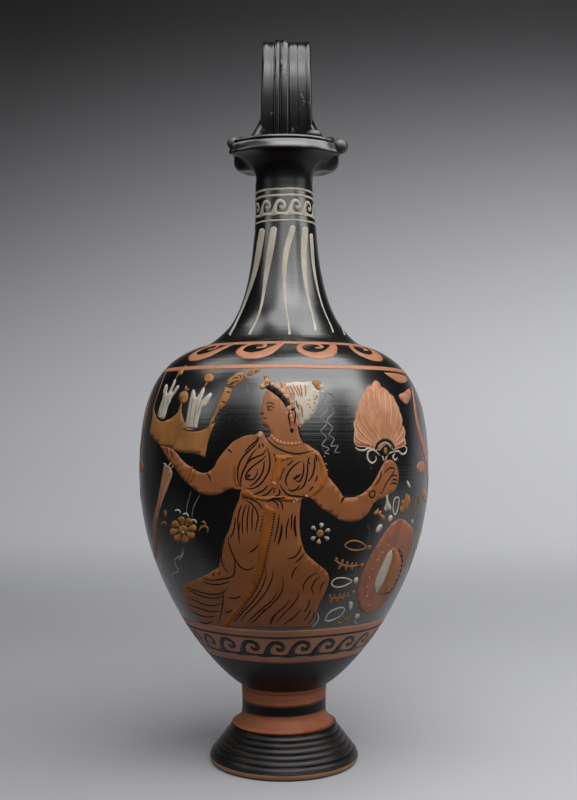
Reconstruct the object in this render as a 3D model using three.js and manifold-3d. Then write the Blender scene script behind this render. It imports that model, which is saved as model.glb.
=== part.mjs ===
// A tall-necked wine jug of black-glazed clay, potted in sections and luted together with slip.
// Millimetres, +Z up. The origin is the centre of the ring that the foot rests on. The pouring lobe of
// the mouth points along -Y and the handle stands at +Y.

import * as THREE from 'three';
import { mergeVertices } from 'three/addons/utils/BufferGeometryUtils.js';
import Module from 'manifold-3d';

const wasm = await Module();
wasm.setup();

// The joints: a tongue on the lower piece stands in a groove of the upper one, with room for slip
const slipGap = 0.3;
const tongueHeight = 1.8;
const tongueWidth = 1.4;

// The foot: a turned, ribbed disc, hollow below
const footRadius = 40;
const footHeight = 20;
const footTopRadius = 28;
const footEdgeHeight = 4.4;
const footUndercut = 2.2;
const footEdgeRise = 2.6;
const restRingWidth = 7;
const ribCount = 6;
const ribDepth = 0.75;
const footHollowHeight = 13;
const footHollowBend = [0.75, 0.4];

// One rib of the foot as shares of its width and of the groove's depth: the groove, then the crest
const ribShape = [[0, 1], [0.28, 0], [0.72, 0]];

// The stem between foot and body, a tube with a spreading base
const stemRadius = 22.7;
const stemHeight = 21.5;
const stemBore = 14;
const stemFlareHeight = 7;
const stemFlareEdge = 0.8;

// The body: a round-bellied lower part and a shoulder that closes it. Slopes are degrees from level, and
// the spreads, full height and rise say how far the outline keeps its direction at each station
const wall = 5.2;
const bodyBaseRadius = 23;
const floorThickness = 7;
const bellyRadius = 77.7;
const bellyHeight = 154.6;
const bellyBaseSlope = 32;
const bellyBaseSpread = 23;
const bellyFullHeight = 52.8;
const shoulderRise = 35.7;
const shoulderSlope = 16;
const shoulderSpread = 30.3;
const shoulderEdgeRadius = 42.8;
const shoulderEdgeHeight = 223;
const shoulderSeamDepth = 14;

// The neck: a hollow fillet at the shoulder, then a long taper
const collarRadius = 33.2;
const collarRise = 7.2;
const collarSlope = 45;
const collarSweep = 15.6;
const neckRadius = 15.5;
const neckTopHeight = 308;
const neckSweep = 43.4;
const neckTaper = 1.4;
const neckWall = 4;

// The mouth, seen from above: distances of the lip from the axis at the front, at the corners of the
// pouring lobe, at the pinches, at the side lobes and behind, with the angles from the front
const lipFront = 27.6;
const lipCorner = 32.4;
const lipCornerAngle = 64;
const lipPinch = 26.2;
const lipPinchAngle = 80;
const lipSide = 30;
const lipSideAngle = 102;
const lipBack = 24.5;
const lipBackFlat = 14;

// How far the lip's top stands above the neck at the front, at the sides and behind
const lipFrontRise = 24.3;
const lipSideRise = 27.6;
const lipBackRise = 29.6;

// The side lobes and the handle stand this far to the right of the axis, the pouring lobe doesn't
const backShift = 1.3;

// The lip, seen in section: a broad sloping band below, a groove, and a thin roll set back above it
const bandHeight = 5;
const bandSetBack = 1.2;
const lipGroove = 0.9;
const rollHeight = 1.7;
const rollSetBack = 3;
const lipThickness = 6.4;
const lipOverhang = 2.4;
const lobeOverhang = 0.8;
const lipRound = 0.5;

// The mouth's outside below the lip, from the neck to the overhang, as shares of the way out and of the
// way up: the flare of the pouring lobe, and the bulge of the side lobes. The same for the inside
const frontFlare = [[0.02, 0.3], [0.14, 0.58], [0.36, 0.79], [0.66, 0.93]];
const lobeBulge = [[0.03, 0.5], [0.35, 0.57], [0.8, 0.59], [0.99, 0.75]];
const frontThroat = [[0, 0.3], [0.34, 0.74]];
const lobeThroat = [[0, 0.5], [0.44, 0.8]];
const brimShare = 0.86;

// The handle: a strap from the back of the lip, up, over and down to the shoulder. Its rise is counted
// from the lip's back, its front leg's lean forwards and its top backwards from its root, its reach
// backwards from the belly's width, and its foot from the shoulder's seam
const strapWidth = 27;
const strapRootWidth = 29.4;
const strapThickness = 5.6;
const strapCorner = 1.6;
const handleRise = 62.5;
const archFrontRise = 25;
const archBackRise = 32;
const handleLean = 3.5;
const handleTopSetBack = 9.3;
const archInset = 14;
const backLegInset = 8.7;
const handleFootInset = 4.7;
const handleFootLift = 6;

// Stations of the strap's back leg as shares of its height and of its reach
const backLeg = [[0.66, 1], [0.4, 1], [0.13, 0.55]];

// The double reed that is laid along the strap in a shallow channel
const reedWidth = 7.6;
const reedSideInset = 6.9;
const reedHeight = 1.2;
const channelDepth = 1.2;
const reedEndInset = 5;

// Half of the reed's section from its edge to the middle groove, as shares of its width and height
const reedShape = [[1, 0.3], [0.82, 0.85], [0.52, 1], [0.2, 0.75], [0, 0.3]];

// The arms that spread from the handle's root along the lip, the unequal knobs that end them and the knob
// beside the strap's right root
const armHeight = 17.5;
const armEndHeight = 4;
const armThickness = 5;
const armEndThickness = 3.5;
const armCorner = 1;
const armHollow = 3;
const armEndAngle = 112;
const leftKnob = { radius: 3.3, out: 1.2, lift: 0.9 };
const rightKnob = { radius: 4.1, out: 1.6, lift: -0.8 };
const rootKnobRadius = 3.6;
const rootKnobSpacing = 15.7;
const rootKnobLift = 5.9;
const rootKnobOut = 1.5;

// The wad of clay that carries the strap on the shoulder
const padHalfWidth = 18;
const padHalfDepth = 10;
const padHalfHeight = 6.5;
const padLift = 1;

// How finely round shapes are divided
const turnSteps = 40;
const lipSteps = 56;
const pathSteps = 44;

const black = new THREE.MeshStandardMaterial({ color: 0x161513, roughness: 0.28, metalness: 0 });
const blackSoft = new THREE.MeshStandardMaterial({ color: 0x1c1a18, roughness: 0.4, metalness: 0 });
const clay = new THREE.MeshStandardMaterial({ color: 0xa45c3c, roughness: 0.6, metalness: 0 });

const v2 = (r, z) => new THREE.Vector2(r, z);
const degrees = (angle) => (angle * Math.PI) / 180;
const direction = (angle) => v2(Math.cos(degrees(angle)), Math.sin(degrees(angle)));
const mix = (a, b, share) => a + (b - a) * share;

// Where the line through one point along one direction crosses that through another
function crossing(pointA, alongA, pointB, alongB) {
  const between = pointB.clone().sub(pointA);
  const share = between.cross(alongB) / alongA.clone().cross(alongB);
  return pointA.clone().addScaledVector(alongA, share);
}

// The outer outline of body and neck, from the body's base to the neck's top, as four curves
const bodyBaseHeight = footHeight + stemHeight;
const bodyBase = v2(bodyBaseRadius, bodyBaseHeight);
const bellyEdge = v2(bellyRadius, bellyHeight);
const shoulderEdge = v2(shoulderEdgeRadius, shoulderEdgeHeight);
const collarEdge = v2(collarRadius, shoulderEdgeHeight + collarRise);
const neckEdge = v2(neckRadius, neckTopHeight);
const shoulderFall = direction(-shoulderSlope);
const collarFall = direction(-collarSlope);
const outline = new THREE.CurvePath();
outline.add(new THREE.CubicBezierCurve(
  bodyBase,
  bodyBase.clone().addScaledVector(direction(bellyBaseSlope), bellyBaseSpread),
  v2(bellyRadius, bellyHeight - bellyFullHeight),
  bellyEdge,
));
outline.add(new THREE.CubicBezierCurve(
  bellyEdge,
  v2(bellyRadius, bellyHeight + shoulderRise),
  shoulderEdge.clone().addScaledVector(shoulderFall, shoulderSpread),
  shoulderEdge,
));
outline.add(new THREE.QuadraticBezierCurve(
  shoulderEdge,
  crossing(shoulderEdge, shoulderFall, collarEdge, collarFall),
  collarEdge,
));
outline.add(new THREE.CubicBezierCurve(
  collarEdge,
  collarEdge.clone().addScaledVector(collarFall, -collarSweep),
  v2(neckRadius + neckTaper, neckTopHeight - neckSweep),
  neckEdge,
));

// The seam between belly and shoulder lies under the painted line on the shoulder
const shoulderJointHeight = shoulderEdgeHeight - shoulderSeamDepth;

// Where the outline passes a height, as a share of its length
function shareAtHeight(height) {
  let low = 0;
  let high = 1;
  for (let turn = 0; turn < 40; turn++) {
    const middle = (low + high) / 2;
    if (outline.getPointAt(middle).y < height) low = middle;
    else high = middle;
  }
  return (low + high) / 2;
}

// How high the outline lies at a distance from the axis, above the belly
function shoulderHeightAt(radius) {
  let low = shareAtHeight(bellyHeight);
  let high = 1;
  for (let turn = 0; turn < 40; turn++) {
    const middle = (low + high) / 2;
    if (outline.getPointAt(middle).x > radius) low = middle;
    else high = middle;
  }
  return outline.getPointAt(low).y;
}

// A point of the outline moved inwards, square to the wall
function inwards(share, depth) {
  const point = outline.getPointAt(share);
  const along = outline.getTangentAt(share);
  return v2(point.x - along.y * depth, point.y + along.x * depth);
}

function outerPoints(from, to, count) {
  return Array.from({ length: count + 1 }, (_, i) => outline.getPointAt(mix(from, to, i / count)));
}

function innerPoints(from, to, count, depthFrom, depthTo = depthFrom) {
  return Array.from({ length: count + 1 }, (_, i) => {
    const step = i / count;
    return inwards(mix(from, to, step), mix(depthFrom, depthTo, step));
  });
}

// The joint across a wall at a point of the outline, from outside to inside: the tongue of the lower
// piece, or with a gap the groove of the upper piece
function jointPoints(point, along, thickness, gap) {
  const side = (thickness - tongueWidth) / 2;
  const at = (depth, rise) => v2(
    point.x - along.y * depth + along.x * (rise + gap),
    point.y + along.x * depth + along.y * (rise + gap),
  );
  return [
    at(0, 0),
    at(side - gap, 0),
    at(side - gap, tongueHeight),
    at(side + tongueWidth + gap, tongueHeight),
    at(side + tongueWidth + gap, 0),
    at(thickness, 0),
  ];
}

function joint(height, thickness, gap) {
  const share = shareAtHeight(height);
  return jointPoints(outline.getPointAt(share), outline.getTangentAt(share), thickness, gap);
}

// A turned piece from a profile that goes up outside and down inside
function turned(profile) {
  const geometry = new THREE.LatheGeometry(profile, turnSteps);
  geometry.rotateX(Math.PI / 2);
  return geometry;
}

function ring(profile) {
  return turned([...profile, profile[0].clone()]);
}

// The signed volume tells whether the faces point outwards
function facingOut(geometry) {
  const at = geometry.attributes.position;
  const index = geometry.index;
  const corner = (i) => new THREE.Vector3().fromBufferAttribute(at, index.getX(i));
  let volume = 0;
  for (let i = 0; i < index.count; i += 3) {
    volume += corner(i).dot(corner(i + 1).cross(corner(i + 2)));
  }
  if (volume > 0) return geometry;
  const turnedIndex = Array.from(index.array).reverse();
  geometry.setIndex(turnedIndex);
  return geometry;
}

// A closed body through rings of points, joined end to start or capped at both ends
function loft(rings, section) {
  const around = rings[0].length;
  const joined = section === undefined;
  const positions = rings.flat().flatMap((p) => [p.x, p.y, p.z]);
  const index = [];
  for (let i = 0; i < rings.length - (joined ? 0 : 1); i++) {
    const here = i * around;
    const next = ((i + 1) % rings.length) * around;
    for (let k = 0; k < around; k++) {
      const side = (k + 1) % around;
      index.push(here + k, here + side, next + side, here + k, next + side, next + k);
    }
  }
  if (!joined) {
    const end = (rings.length - 1) * around;
    for (const [a, b, c] of THREE.ShapeUtils.triangulateShape(section, [])) {
      index.push(a, c, b, end + a, end + b, end + c);
    }
  }
  const geometry = new THREE.BufferGeometry();
  geometry.setAttribute('position', new THREE.Float32BufferAttribute(positions, 3));
  geometry.setIndex(index);
  return facingOut(geometry);
}

function toSolid(geometry) {
  const bare = geometry.clone();
  bare.deleteAttribute('normal');
  bare.deleteAttribute('uv');
  const merged = mergeVertices(bare, 1e-4);
  return new wasm.Manifold(new wasm.Mesh({
    numProp: 3,
    vertProperties: new Float32Array(merged.attributes.position.array),
    triVerts: new Uint32Array(merged.index.array),
  }));
}

function toGeometry(solid) {
  const mesh = solid.getMesh();
  const geometry = new THREE.BufferGeometry();
  geometry.setAttribute('position', new THREE.BufferAttribute(mesh.vertProperties, 3));
  geometry.setIndex(new THREE.BufferAttribute(mesh.triVerts, 1));
  return geometry;
}

function cut(geometry, ...tools) {
  let solid = toSolid(geometry);
  for (const tool of tools) solid = solid.subtract(toSolid(tool));
  return toGeometry(solid);
}

// The foot's joint with the stem stands halfway between the bore and the top's edge
const footJoint = v2((footTopRadius + stemBore + tongueWidth) / 2, footHeight);

function footGeometry() {
  const restRadius = footRadius - footUndercut;
  const hollowRadius = restRadius - restRingWidth;
  const profile = [
    v2(hollowRadius, 0),
    v2(restRadius, 0),
    v2(footRadius - footUndercut * 0.3, footEdgeRise * 0.4),
    v2(footRadius, footEdgeRise),
    v2(footRadius, footEdgeHeight - footUndercut * 0.3),
  ];
  const slope = v2(footTopRadius - footRadius, footHeight - footEdgeHeight);
  const outward = v2(slope.y, -slope.x).normalize();
  for (let rib = 0; rib < ribCount; rib++) {
    for (const [along, depth] of ribShape) {
      const share = (rib + along) / ribCount;
      profile.push(v2(
        footRadius + slope.x * share - outward.x * ribDepth * depth,
        footEdgeHeight + slope.y * share - outward.y * ribDepth * depth,
      ));
    }
  }
  profile.push(v2(footTopRadius, footHeight));
  profile.push(v2(footJoint.x + tongueWidth / 2, footHeight));
  profile.push(v2(footJoint.x + tongueWidth / 2, footHeight + tongueHeight));
  profile.push(v2(footJoint.x - tongueWidth / 2, footHeight + tongueHeight));
  profile.push(v2(footJoint.x - tongueWidth / 2, footHeight));
  profile.push(v2(stemBore, footHeight));
  profile.push(v2(stemBore, footHollowHeight));
  profile.push(v2(mix(stemBore, hollowRadius, footHollowBend[0]), footHollowHeight * footHollowBend[1]));
  return ring(profile);
}

// The body's joint with the stem, a ring round the bore
const baseJointRadius = (stemRadius + stemBore) / 2;

function stemGeometry() {
  const bottom = footHeight + slipGap;
  const top = bodyBaseHeight - slipGap;
  const reach = tongueWidth / 2 + slipGap;
  const flare = new THREE.QuadraticBezierCurve(
    v2(footTopRadius, bottom + stemFlareEdge),
    v2(stemRadius, bottom + stemFlareHeight / 2),
    v2(stemRadius, bottom + stemFlareHeight),
  );
  const profile = [
    v2(stemBore, bottom),
    v2(footJoint.x - reach, bottom),
    v2(footJoint.x - reach, bottom + tongueHeight),
    v2(footJoint.x + reach, bottom + tongueHeight),
    v2(footJoint.x + reach, bottom),
    v2(footTopRadius - stemFlareEdge, bottom),
    ...flare.getPoints(4),
    v2(stemRadius, top),
    v2(baseJointRadius + tongueWidth / 2, top),
    v2(baseJointRadius + tongueWidth / 2, top + tongueHeight),
    v2(baseJointRadius - tongueWidth / 2, top + tongueHeight),
    v2(baseJointRadius - tongueWidth / 2, top),
    v2(stemBore, top),
  ];
  return ring(profile);
}

function bellyGeometry() {
  const seam = shareAtHeight(shoulderJointHeight);
  const reach = tongueWidth / 2 + slipGap;
  const floor = bodyBaseHeight + floorThickness;
  const inside = innerPoints(seam, 0, 10, wall, floorThickness).slice(1);
  return turned([
    v2(0, bodyBaseHeight),
    v2(baseJointRadius - reach, bodyBaseHeight),
    v2(baseJointRadius - reach, bodyBaseHeight + tongueHeight),
    v2(baseJointRadius + reach, bodyBaseHeight + tongueHeight),
    v2(baseJointRadius + reach, bodyBaseHeight),
    ...outerPoints(0, seam, 17).slice(0, -1),
    ...joint(shoulderJointHeight, wall, 0),
    ...inside.filter((point) => point.y > floor + 0.5),
    v2(bodyBaseRadius - floorThickness, floor),
    v2(0, floor),
  ]);
}

function shoulderGeometry() {
  const length = outline.getLength();
  const from = shareAtHeight(shoulderJointHeight) + slipGap / length;
  const to = shareAtHeight(shoulderEdgeHeight);
  return ring([
    ...outerPoints(from, to, 6).slice(1, -1),
    ...joint(shoulderEdgeHeight, wall, 0),
    ...innerPoints(to, from, 5, wall).slice(1, -1),
    ...joint(shoulderJointHeight, wall, slipGap).reverse(),
  ]);
}

function neckGeometry() {
  const length = outline.getLength();
  const from = shareAtHeight(shoulderEdgeHeight) + slipGap / length;
  return ring([
    ...outerPoints(from, 1, 13).slice(1, -1),
    ...jointPoints(neckEdge, v2(0, 1), neckWall, 0),
    ...innerPoints(1, from, 8, neckWall, wall).slice(1, -1),
    ...joint(shoulderEdgeHeight, wall, slipGap).reverse(),
  ]);
}

// Stations of the lip as angle from the front, distance from the axis and height of the top
const lipFrontHeight = neckTopHeight + lipFrontRise;
const lipSideHeight = neckTopHeight + lipSideRise;
const lipBackHeight = neckTopHeight + lipBackRise;
const flatEndAngle = 180 - THREE.MathUtils.radToDeg(Math.atan2(lipBackFlat, lipBack));
const flatEnd = Math.hypot(lipBack, lipBackFlat);
const lipStations = [
  [0, lipFront, lipFrontHeight],
  [lipCornerAngle * 0.5, mix(lipFront, lipCorner, 0.3), lipFrontHeight],
  [lipCornerAngle * 0.85, mix(lipFront, lipCorner, 0.8), lipFrontHeight],
  [lipCornerAngle, lipCorner, lipFrontHeight],
  [lipPinchAngle, lipPinch, mix(lipFrontHeight, lipSideHeight, 0.4)],
  [lipSideAngle, lipSide, lipSideHeight],
  [mix(lipSideAngle, flatEndAngle, 0.5), mix(lipSide, flatEnd, 0.6), lipSideHeight],
  [flatEndAngle, flatEnd, lipBackHeight],
  [180, lipBack, lipBackHeight],
];

// The angle from the front, whichever side it is on
const fromFront = (angle) => Math.abs(THREE.MathUtils.euclideanModulo(angle + 180, 360) - 180);

// A smooth curve through the stations, which are mirrored at the front and at the back
function lipAt(angle, column) {
  const turn = fromFront(angle);
  const last = lipStations.length - 1;
  let low = 0;
  while (low < last - 1 && lipStations[low + 1][0] < turn) low++;
  const mirrored = (i) => {
    if (i < 0) return [-lipStations[-i][0], lipStations[-i][column]];
    if (i > last) return [360 - lipStations[2 * last - i][0], lipStations[2 * last - i][column]];
    return [lipStations[i][0], lipStations[i][column]];
  };
  const [a, b, c, d] = [low - 1, low, low + 1, low + 2].map(mirrored);
  const step = c[0] - b[0];
  const share = (turn - b[0]) / step;
  const slopeB = ((c[1] - a[1]) / (c[0] - a[0])) * step;
  const slopeC = ((d[1] - b[1]) / (d[0] - b[0])) * step;
  const square = share * share;
  const cube = square * share;
  return (2 * cube - 3 * square + 1) * b[1] + (cube - 2 * square + share) * slopeB
    + (3 * square - 2 * cube) * c[1] + (cube - square) * slopeC;
}

const lipRadius = (angle) => lipAt(angle, 1);
const lipTop = (angle) => lipAt(angle, 2);
const lipHeight = bandHeight + lipGroove + rollHeight;

// How far a section belongs to the bulging side lobes, from 0 at the front to 1
function lobeShare(angle) {
  return THREE.MathUtils.smoothstep(fromFront(angle), lipCornerAngle, mix(lipPinchAngle, lipSideAngle, 0.6));
}

// The mouth's section at an angle: up the outside, round the lip and down the inside
function mouthSection(angle) {
  const lip = lipRadius(angle);
  const under = lipTop(angle) - lipHeight;
  const start = neckTopHeight + slipGap;
  const lobe = lobeShare(angle);
  const rise = under - start;
  const edge = lip - mix(lipOverhang, lobeOverhang, lobe);
  const spread = edge - neckRadius;
  const blend = (front, side) => v2(mix(front[0], side[0], lobe), mix(front[1], side[1], lobe));
  const outside = new THREE.SplineCurve([
    v2(neckRadius, start),
    ...frontFlare.map((front, i) => {
      const share = blend(front, lobeBulge[i]);
      return v2(neckRadius + spread * share.x, start + rise * share.y);
    }),
    v2(edge, under),
  ]);
  const bore = neckRadius - neckWall;
  const brim = lip - lipThickness;
  const throat = frontThroat.map((front, i) => blend(front, lobeThroat[i]));
  const inside = new THREE.SplineCurve([
    v2(brim, under + lipHeight - rollHeight),
    v2(mix(bore, brim, brimShare), under + lipGroove),
    v2(mix(bore, brim, throat[1].x), start + rise * throat[1].y),
    v2(bore, start + rise * throat[0].y),
    v2(bore, start),
  ]);
  const roll = lip - rollSetBack;
  const groove = roll - lipRound;
  const grooveHeight = under + bandHeight;
  return [
    ...outside.getPoints(10).slice(1),
    v2(lip - lipRound, under),
    v2(lip, under + lipRound),
    v2(lip - bandSetBack, grooveHeight - lipRound),
    v2(groove, grooveHeight),
    v2(groove, grooveHeight + lipGroove / 2),
    v2(roll, grooveHeight + lipGroove),
    v2(roll, under + lipHeight - lipRound),
    v2(roll - lipRound * 2, under + lipHeight),
    v2(brim + lipRound * 2, under + lipHeight),
    ...inside.getPoints(6).slice(0, -1),
    ...jointPoints(neckEdge, v2(0, 1), neckWall, slipGap).reverse(),
  ];
}

// The shift to the right begins above the joint and is complete at half the side lobes' height
function place(angle, point) {
  const turn = degrees(angle);
  const full = mix(neckTopHeight, lipSideHeight, 0.5);
  const rise = THREE.MathUtils.smoothstep(point.y, neckTopHeight + tongueHeight, full);
  const shift = backShift * lobeShare(angle) * rise;
  return new THREE.Vector3(point.x * Math.sin(turn) + shift, -point.x * Math.cos(turn), point.y);
}

function mouthGeometry() {
  const rings = [];
  for (let step = 0; step < lipSteps; step++) {
    const angle = (360 * step) / lipSteps;
    rings.push(mouthSection(angle).map((point) => place(angle, point)));
  }
  return cut(loft(rings), rimKnobGeometry(-1, slipGap), rimKnobGeometry(1, slipGap));
}

// The strap's middle line in the plane of symmetry, as distance behind the axis and height
const rootReach = lipBack - lipThickness / 2;
const rootHeight = lipBackHeight + slipGap;
const frontLegReach = rootReach - handleLean;
const handleTopReach = rootReach + handleTopSetBack;
const handleArchBack = bellyRadius - archInset;
const handleBackReach = bellyRadius - backLegInset;
const handleFootReach = outline.getPointAt(shareAtHeight(shoulderJointHeight)).x - handleFootInset;
const archHeight = lipBackHeight + handleRise - strapThickness / 2 - reedHeight;
const strapFootHeight = shoulderHeightAt(handleFootReach) + handleFootLift;
const behind = (reach, height) => new THREE.Vector3(0, reach, height);
const archPoints = [180, 150, 120, 90, 45, 0].map((angle) => {
  const [reach, rise] = angle > 90 ? [frontLegReach, archFrontRise] : [handleArchBack, archBackRise];
  return behind(
    mix(handleTopReach, reach, Math.abs(Math.cos(degrees(angle)))),
    archHeight + rise * (Math.sin(degrees(angle)) - 1),
  );
});
const strapPath = new THREE.CatmullRomCurve3([
  behind(rootReach, rootHeight),
  behind(rootReach, rootHeight + strapThickness / 3),
  behind(mix(rootReach, frontLegReach, 0.6), mix(rootHeight, archHeight - archFrontRise, 0.5)),
  ...archPoints,
  ...backLeg.map(([height, reach]) => behind(
    mix(handleFootReach, handleBackReach, reach),
    mix(strapFootHeight, archHeight, height),
  )),
  behind(handleFootReach, strapFootHeight),
], false, 'centripetal');

// How much wider the strap is at a share of its line than on its back leg
function strapWidening(share) {
  const rise = THREE.MathUtils.smoothstep(share, 0, (archHeight - rootHeight) / strapPath.getLength());
  return mix(strapRootWidth / strapWidth, 1, rise);
}

// A section carried along a stretch of the strap's line, its second axis pointing out of the loop
function alongStrap(section, from, to, steps) {
  const rings = [];
  for (let step = 0; step <= steps; step++) {
    const share = mix(from, to, step / steps);
    const middle = strapPath.getPointAt(share);
    const along = strapPath.getTangentAt(share);
    const out = new THREE.Vector3(0, -along.z, along.y);
    const wide = strapWidening(share);
    rings.push(section.map((point) => {
      const across = new THREE.Vector3(point.x * wide + backShift, 0, 0);
      return across.addScaledVector(out, point.y).add(middle);
    }));
  }
  return loft(rings, section);
}

// The reed's middle lies this far left of the strap's middle
const reedShift = strapWidth / 2 - reedWidth / 2 - reedSideInset;

// The strap's section, grown by a margin where it is used as a cutter
function strapSection(grow) {
  const half = strapWidth / 2 + grow;
  const face = strapThickness / 2 + grow;
  const channel = reedWidth / 2 + slipGap;
  const groove = [
    v2(channel - reedShift, face),
    v2(channel - reedShift, face - channelDepth),
    v2(-channel - reedShift, face - channelDepth),
    v2(-channel - reedShift, face),
  ];
  return [
    v2(-half, strapCorner - face),
    v2(strapCorner - half, -face),
    v2(half - strapCorner, -face),
    v2(half, strapCorner - face),
    v2(half, face - strapCorner),
    v2(half - strapCorner, face),
    ...(grow > 0 ? [] : groove),
    v2(strapCorner - half, face),
    v2(-half, face - strapCorner),
  ];
}

function reedSection() {
  const face = strapThickness / 2;
  const bed = face - channelDepth + slipGap;
  const half = reedWidth / 2;
  const right = reedShape.map(([out, up]) => v2(half * out, face + reedHeight * up));
  const left = right.slice(0, -1).reverse().map((point) => v2(-point.x, point.y));
  const points = [v2(-half, bed), v2(half, bed), ...right, ...left];
  return points.map((point) => v2(point.x - reedShift, point.y));
}

function reedGeometry() {
  const length = strapPath.getLength();
  const padReach = (padHalfHeight + reedEndInset) / length;
  return alongStrap(reedSection(), reedEndInset / length, 1 - padReach, pathSteps);
}

// An arm lies on the lip from beside the strap to the side lobe and falls in a hollow curve
function armGeometry(side) {
  const beside = strapRootWidth / 2 + slipGap;
  const startAngle = 180 - THREE.MathUtils.radToDeg(Math.atan2(beside, rootReach));
  const rings = [];
  const steps = 8;
  for (let step = 0; step <= steps; step++) {
    const share = step / steps;
    const angle = mix(startAngle, armEndAngle, share);
    const middle = lipRadius(angle) - lipThickness / 2;
    const half = mix(armThickness, armEndThickness, share) / 2;
    const base = lipTop(angle) + slipGap;
    const top = base + mix(armEndHeight, armHeight, (1 - share) ** armHollow);
    const points = [
      v2(middle - half, base),
      v2(middle + half, base),
      v2(middle + half, top - armCorner),
      v2(middle + half - armCorner, top),
      v2(middle - half + armCorner, top),
      v2(middle - half, top - armCorner),
    ];
    rings.push(points.map((point) => place(angle * side, point)));
  }
  const first = rings[0];
  for (const point of first) point.x = side * beside + backShift;
  const arm = loft(rings, first.map((point) => v2(point.y, point.z)));
  const knobs = [rimKnobGeometry(side, slipGap)];
  if (side > 0) knobs.push(rootKnobGeometry(slipGap));
  return cut(arm, ...knobs);
}

function ball(radius, centre) {
  const sphere = new THREE.SphereGeometry(radius, 14, 8);
  sphere.rotateX(Math.PI / 2);
  sphere.translate(centre.x, centre.y, centre.z);
  return sphere;
}

// A rim knob is half sunk into the lip's outer edge at the arm's end
function rimKnobGeometry(side, grow) {
  const { radius, out, lift } = side < 0 ? leftKnob : rightKnob;
  const reach = lipRadius(armEndAngle) + out;
  return ball(radius + grow, place(armEndAngle * side, v2(reach, lipTop(armEndAngle) + lift)));
}

// The root knob is half sunk into the front of the right arm and of the strap's edge
function rootKnobGeometry(grow) {
  const angle = 180 - THREE.MathUtils.radToDeg(Math.asin(rootKnobSpacing / flatEnd));
  const reach = lipRadius(angle) - lipThickness / 2 - armThickness / 2 - rootKnobOut;
  const centre = place(angle, v2(reach, lipTop(angle) + slipGap + rootKnobLift));
  centre.x = rootKnobSpacing + backShift;
  return ball(rootKnobRadius + grow, centre);
}

function strapGeometry() {
  return cut(alongStrap(strapSection(0), 0, 1, pathSteps), rootKnobGeometry(slipGap));
}

// The body's outside above the belly, grown by the slip gap, as a solid that cuts the pad
function bodyCutter() {
  const from = shareAtHeight(bellyHeight);
  const to = shareAtHeight(shoulderEdgeHeight + collarRise);
  const grown = innerPoints(from, to, 24, -slipGap);
  return turned([v2(0, bellyHeight), ...grown, v2(0, grown[grown.length - 1].y)]);
}

function padGeometry() {
  const pad = new THREE.SphereGeometry(1, 20, 12);
  pad.scale(padHalfWidth, padHalfDepth, padHalfHeight);
  pad.translate(backShift, handleFootReach, strapFootHeight - handleFootLift + padLift);
  const section = strapSection(slipGap);
  const length = strapPath.getLength();
  const strap = alongStrap(section, 1 - (padHalfHeight * 2) / length, 1, 4);
  const end = strapPath.getTangentAt(1).multiplyScalar(slipGap);
  strap.translate(end.x, end.y, end.z);
  return cut(pad, bodyCutter(), strap);
}

function piece(name, geometry, material) {
  const mesh = new THREE.Mesh(geometry, material);
  mesh.name = name;
  return mesh;
}

const jug = new THREE.Group();
jug.add(piece('foot', footGeometry(), blackSoft));
jug.add(piece('stem', stemGeometry(), clay));
jug.add(piece('belly', bellyGeometry(), black));
jug.add(piece('shoulder', shoulderGeometry(), black));
jug.add(piece('neck', neckGeometry(), black));
jug.add(piece('mouth', mouthGeometry(), black));
jug.add(piece('handle_strap', strapGeometry(), black));
jug.add(piece('handle_reed', reedGeometry(), black));
jug.add(piece('handle_pad', padGeometry(), black));
for (const [name, side] of [['left', -1], ['right', 1]]) {
  jug.add(piece(`handle_arm_${name}`, armGeometry(side), black));
  jug.add(piece(`rim_knob_${name}`, rimKnobGeometry(side, 0), black));
}
jug.add(piece('root_knob', rootKnobGeometry(0), black));

export default jug;
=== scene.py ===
import math

import bmesh
import bpy
import numpy as np
from mathutils import Matrix, Vector
from mathutils.geometry import delaunay_2d_cdt


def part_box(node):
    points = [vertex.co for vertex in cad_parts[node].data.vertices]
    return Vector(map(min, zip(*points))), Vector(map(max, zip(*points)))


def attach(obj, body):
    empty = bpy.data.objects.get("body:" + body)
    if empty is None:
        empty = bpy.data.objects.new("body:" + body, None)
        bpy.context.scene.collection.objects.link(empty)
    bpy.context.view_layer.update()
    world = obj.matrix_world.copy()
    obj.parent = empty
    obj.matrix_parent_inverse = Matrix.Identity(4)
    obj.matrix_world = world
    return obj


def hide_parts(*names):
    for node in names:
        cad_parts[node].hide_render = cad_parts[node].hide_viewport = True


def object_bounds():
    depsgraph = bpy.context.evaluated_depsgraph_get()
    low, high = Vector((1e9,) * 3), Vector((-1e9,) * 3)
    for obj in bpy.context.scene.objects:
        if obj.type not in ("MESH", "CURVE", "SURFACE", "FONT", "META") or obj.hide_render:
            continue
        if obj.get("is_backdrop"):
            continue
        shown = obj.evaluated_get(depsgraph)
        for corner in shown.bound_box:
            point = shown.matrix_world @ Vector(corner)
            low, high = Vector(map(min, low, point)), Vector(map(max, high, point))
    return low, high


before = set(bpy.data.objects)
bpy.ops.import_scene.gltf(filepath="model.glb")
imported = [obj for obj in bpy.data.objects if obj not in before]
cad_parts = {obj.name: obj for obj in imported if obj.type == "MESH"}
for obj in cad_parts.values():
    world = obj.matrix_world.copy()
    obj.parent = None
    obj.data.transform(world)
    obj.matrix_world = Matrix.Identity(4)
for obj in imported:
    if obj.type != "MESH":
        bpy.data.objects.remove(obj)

bl_info = {
    "name": "Black Gloss Wine Jug",
    "version": (1, 0, 0),
    "blender": (4, 5, 0),
    "location": "View3D > Sidebar > Jug",
    "description": "Dresses a tall-necked, trefoil-mouthed wine jug with its gloss, clay and painting",
    "category": "Object",
}

MM = 0.001


# Sizes and colours a user would change

def length(name, description, default):
    return bpy.props.FloatProperty(
        name=name, description=description, default=default * MM, min=0.0, subtype="DISTANCE", unit="LENGTH"
    )


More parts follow.
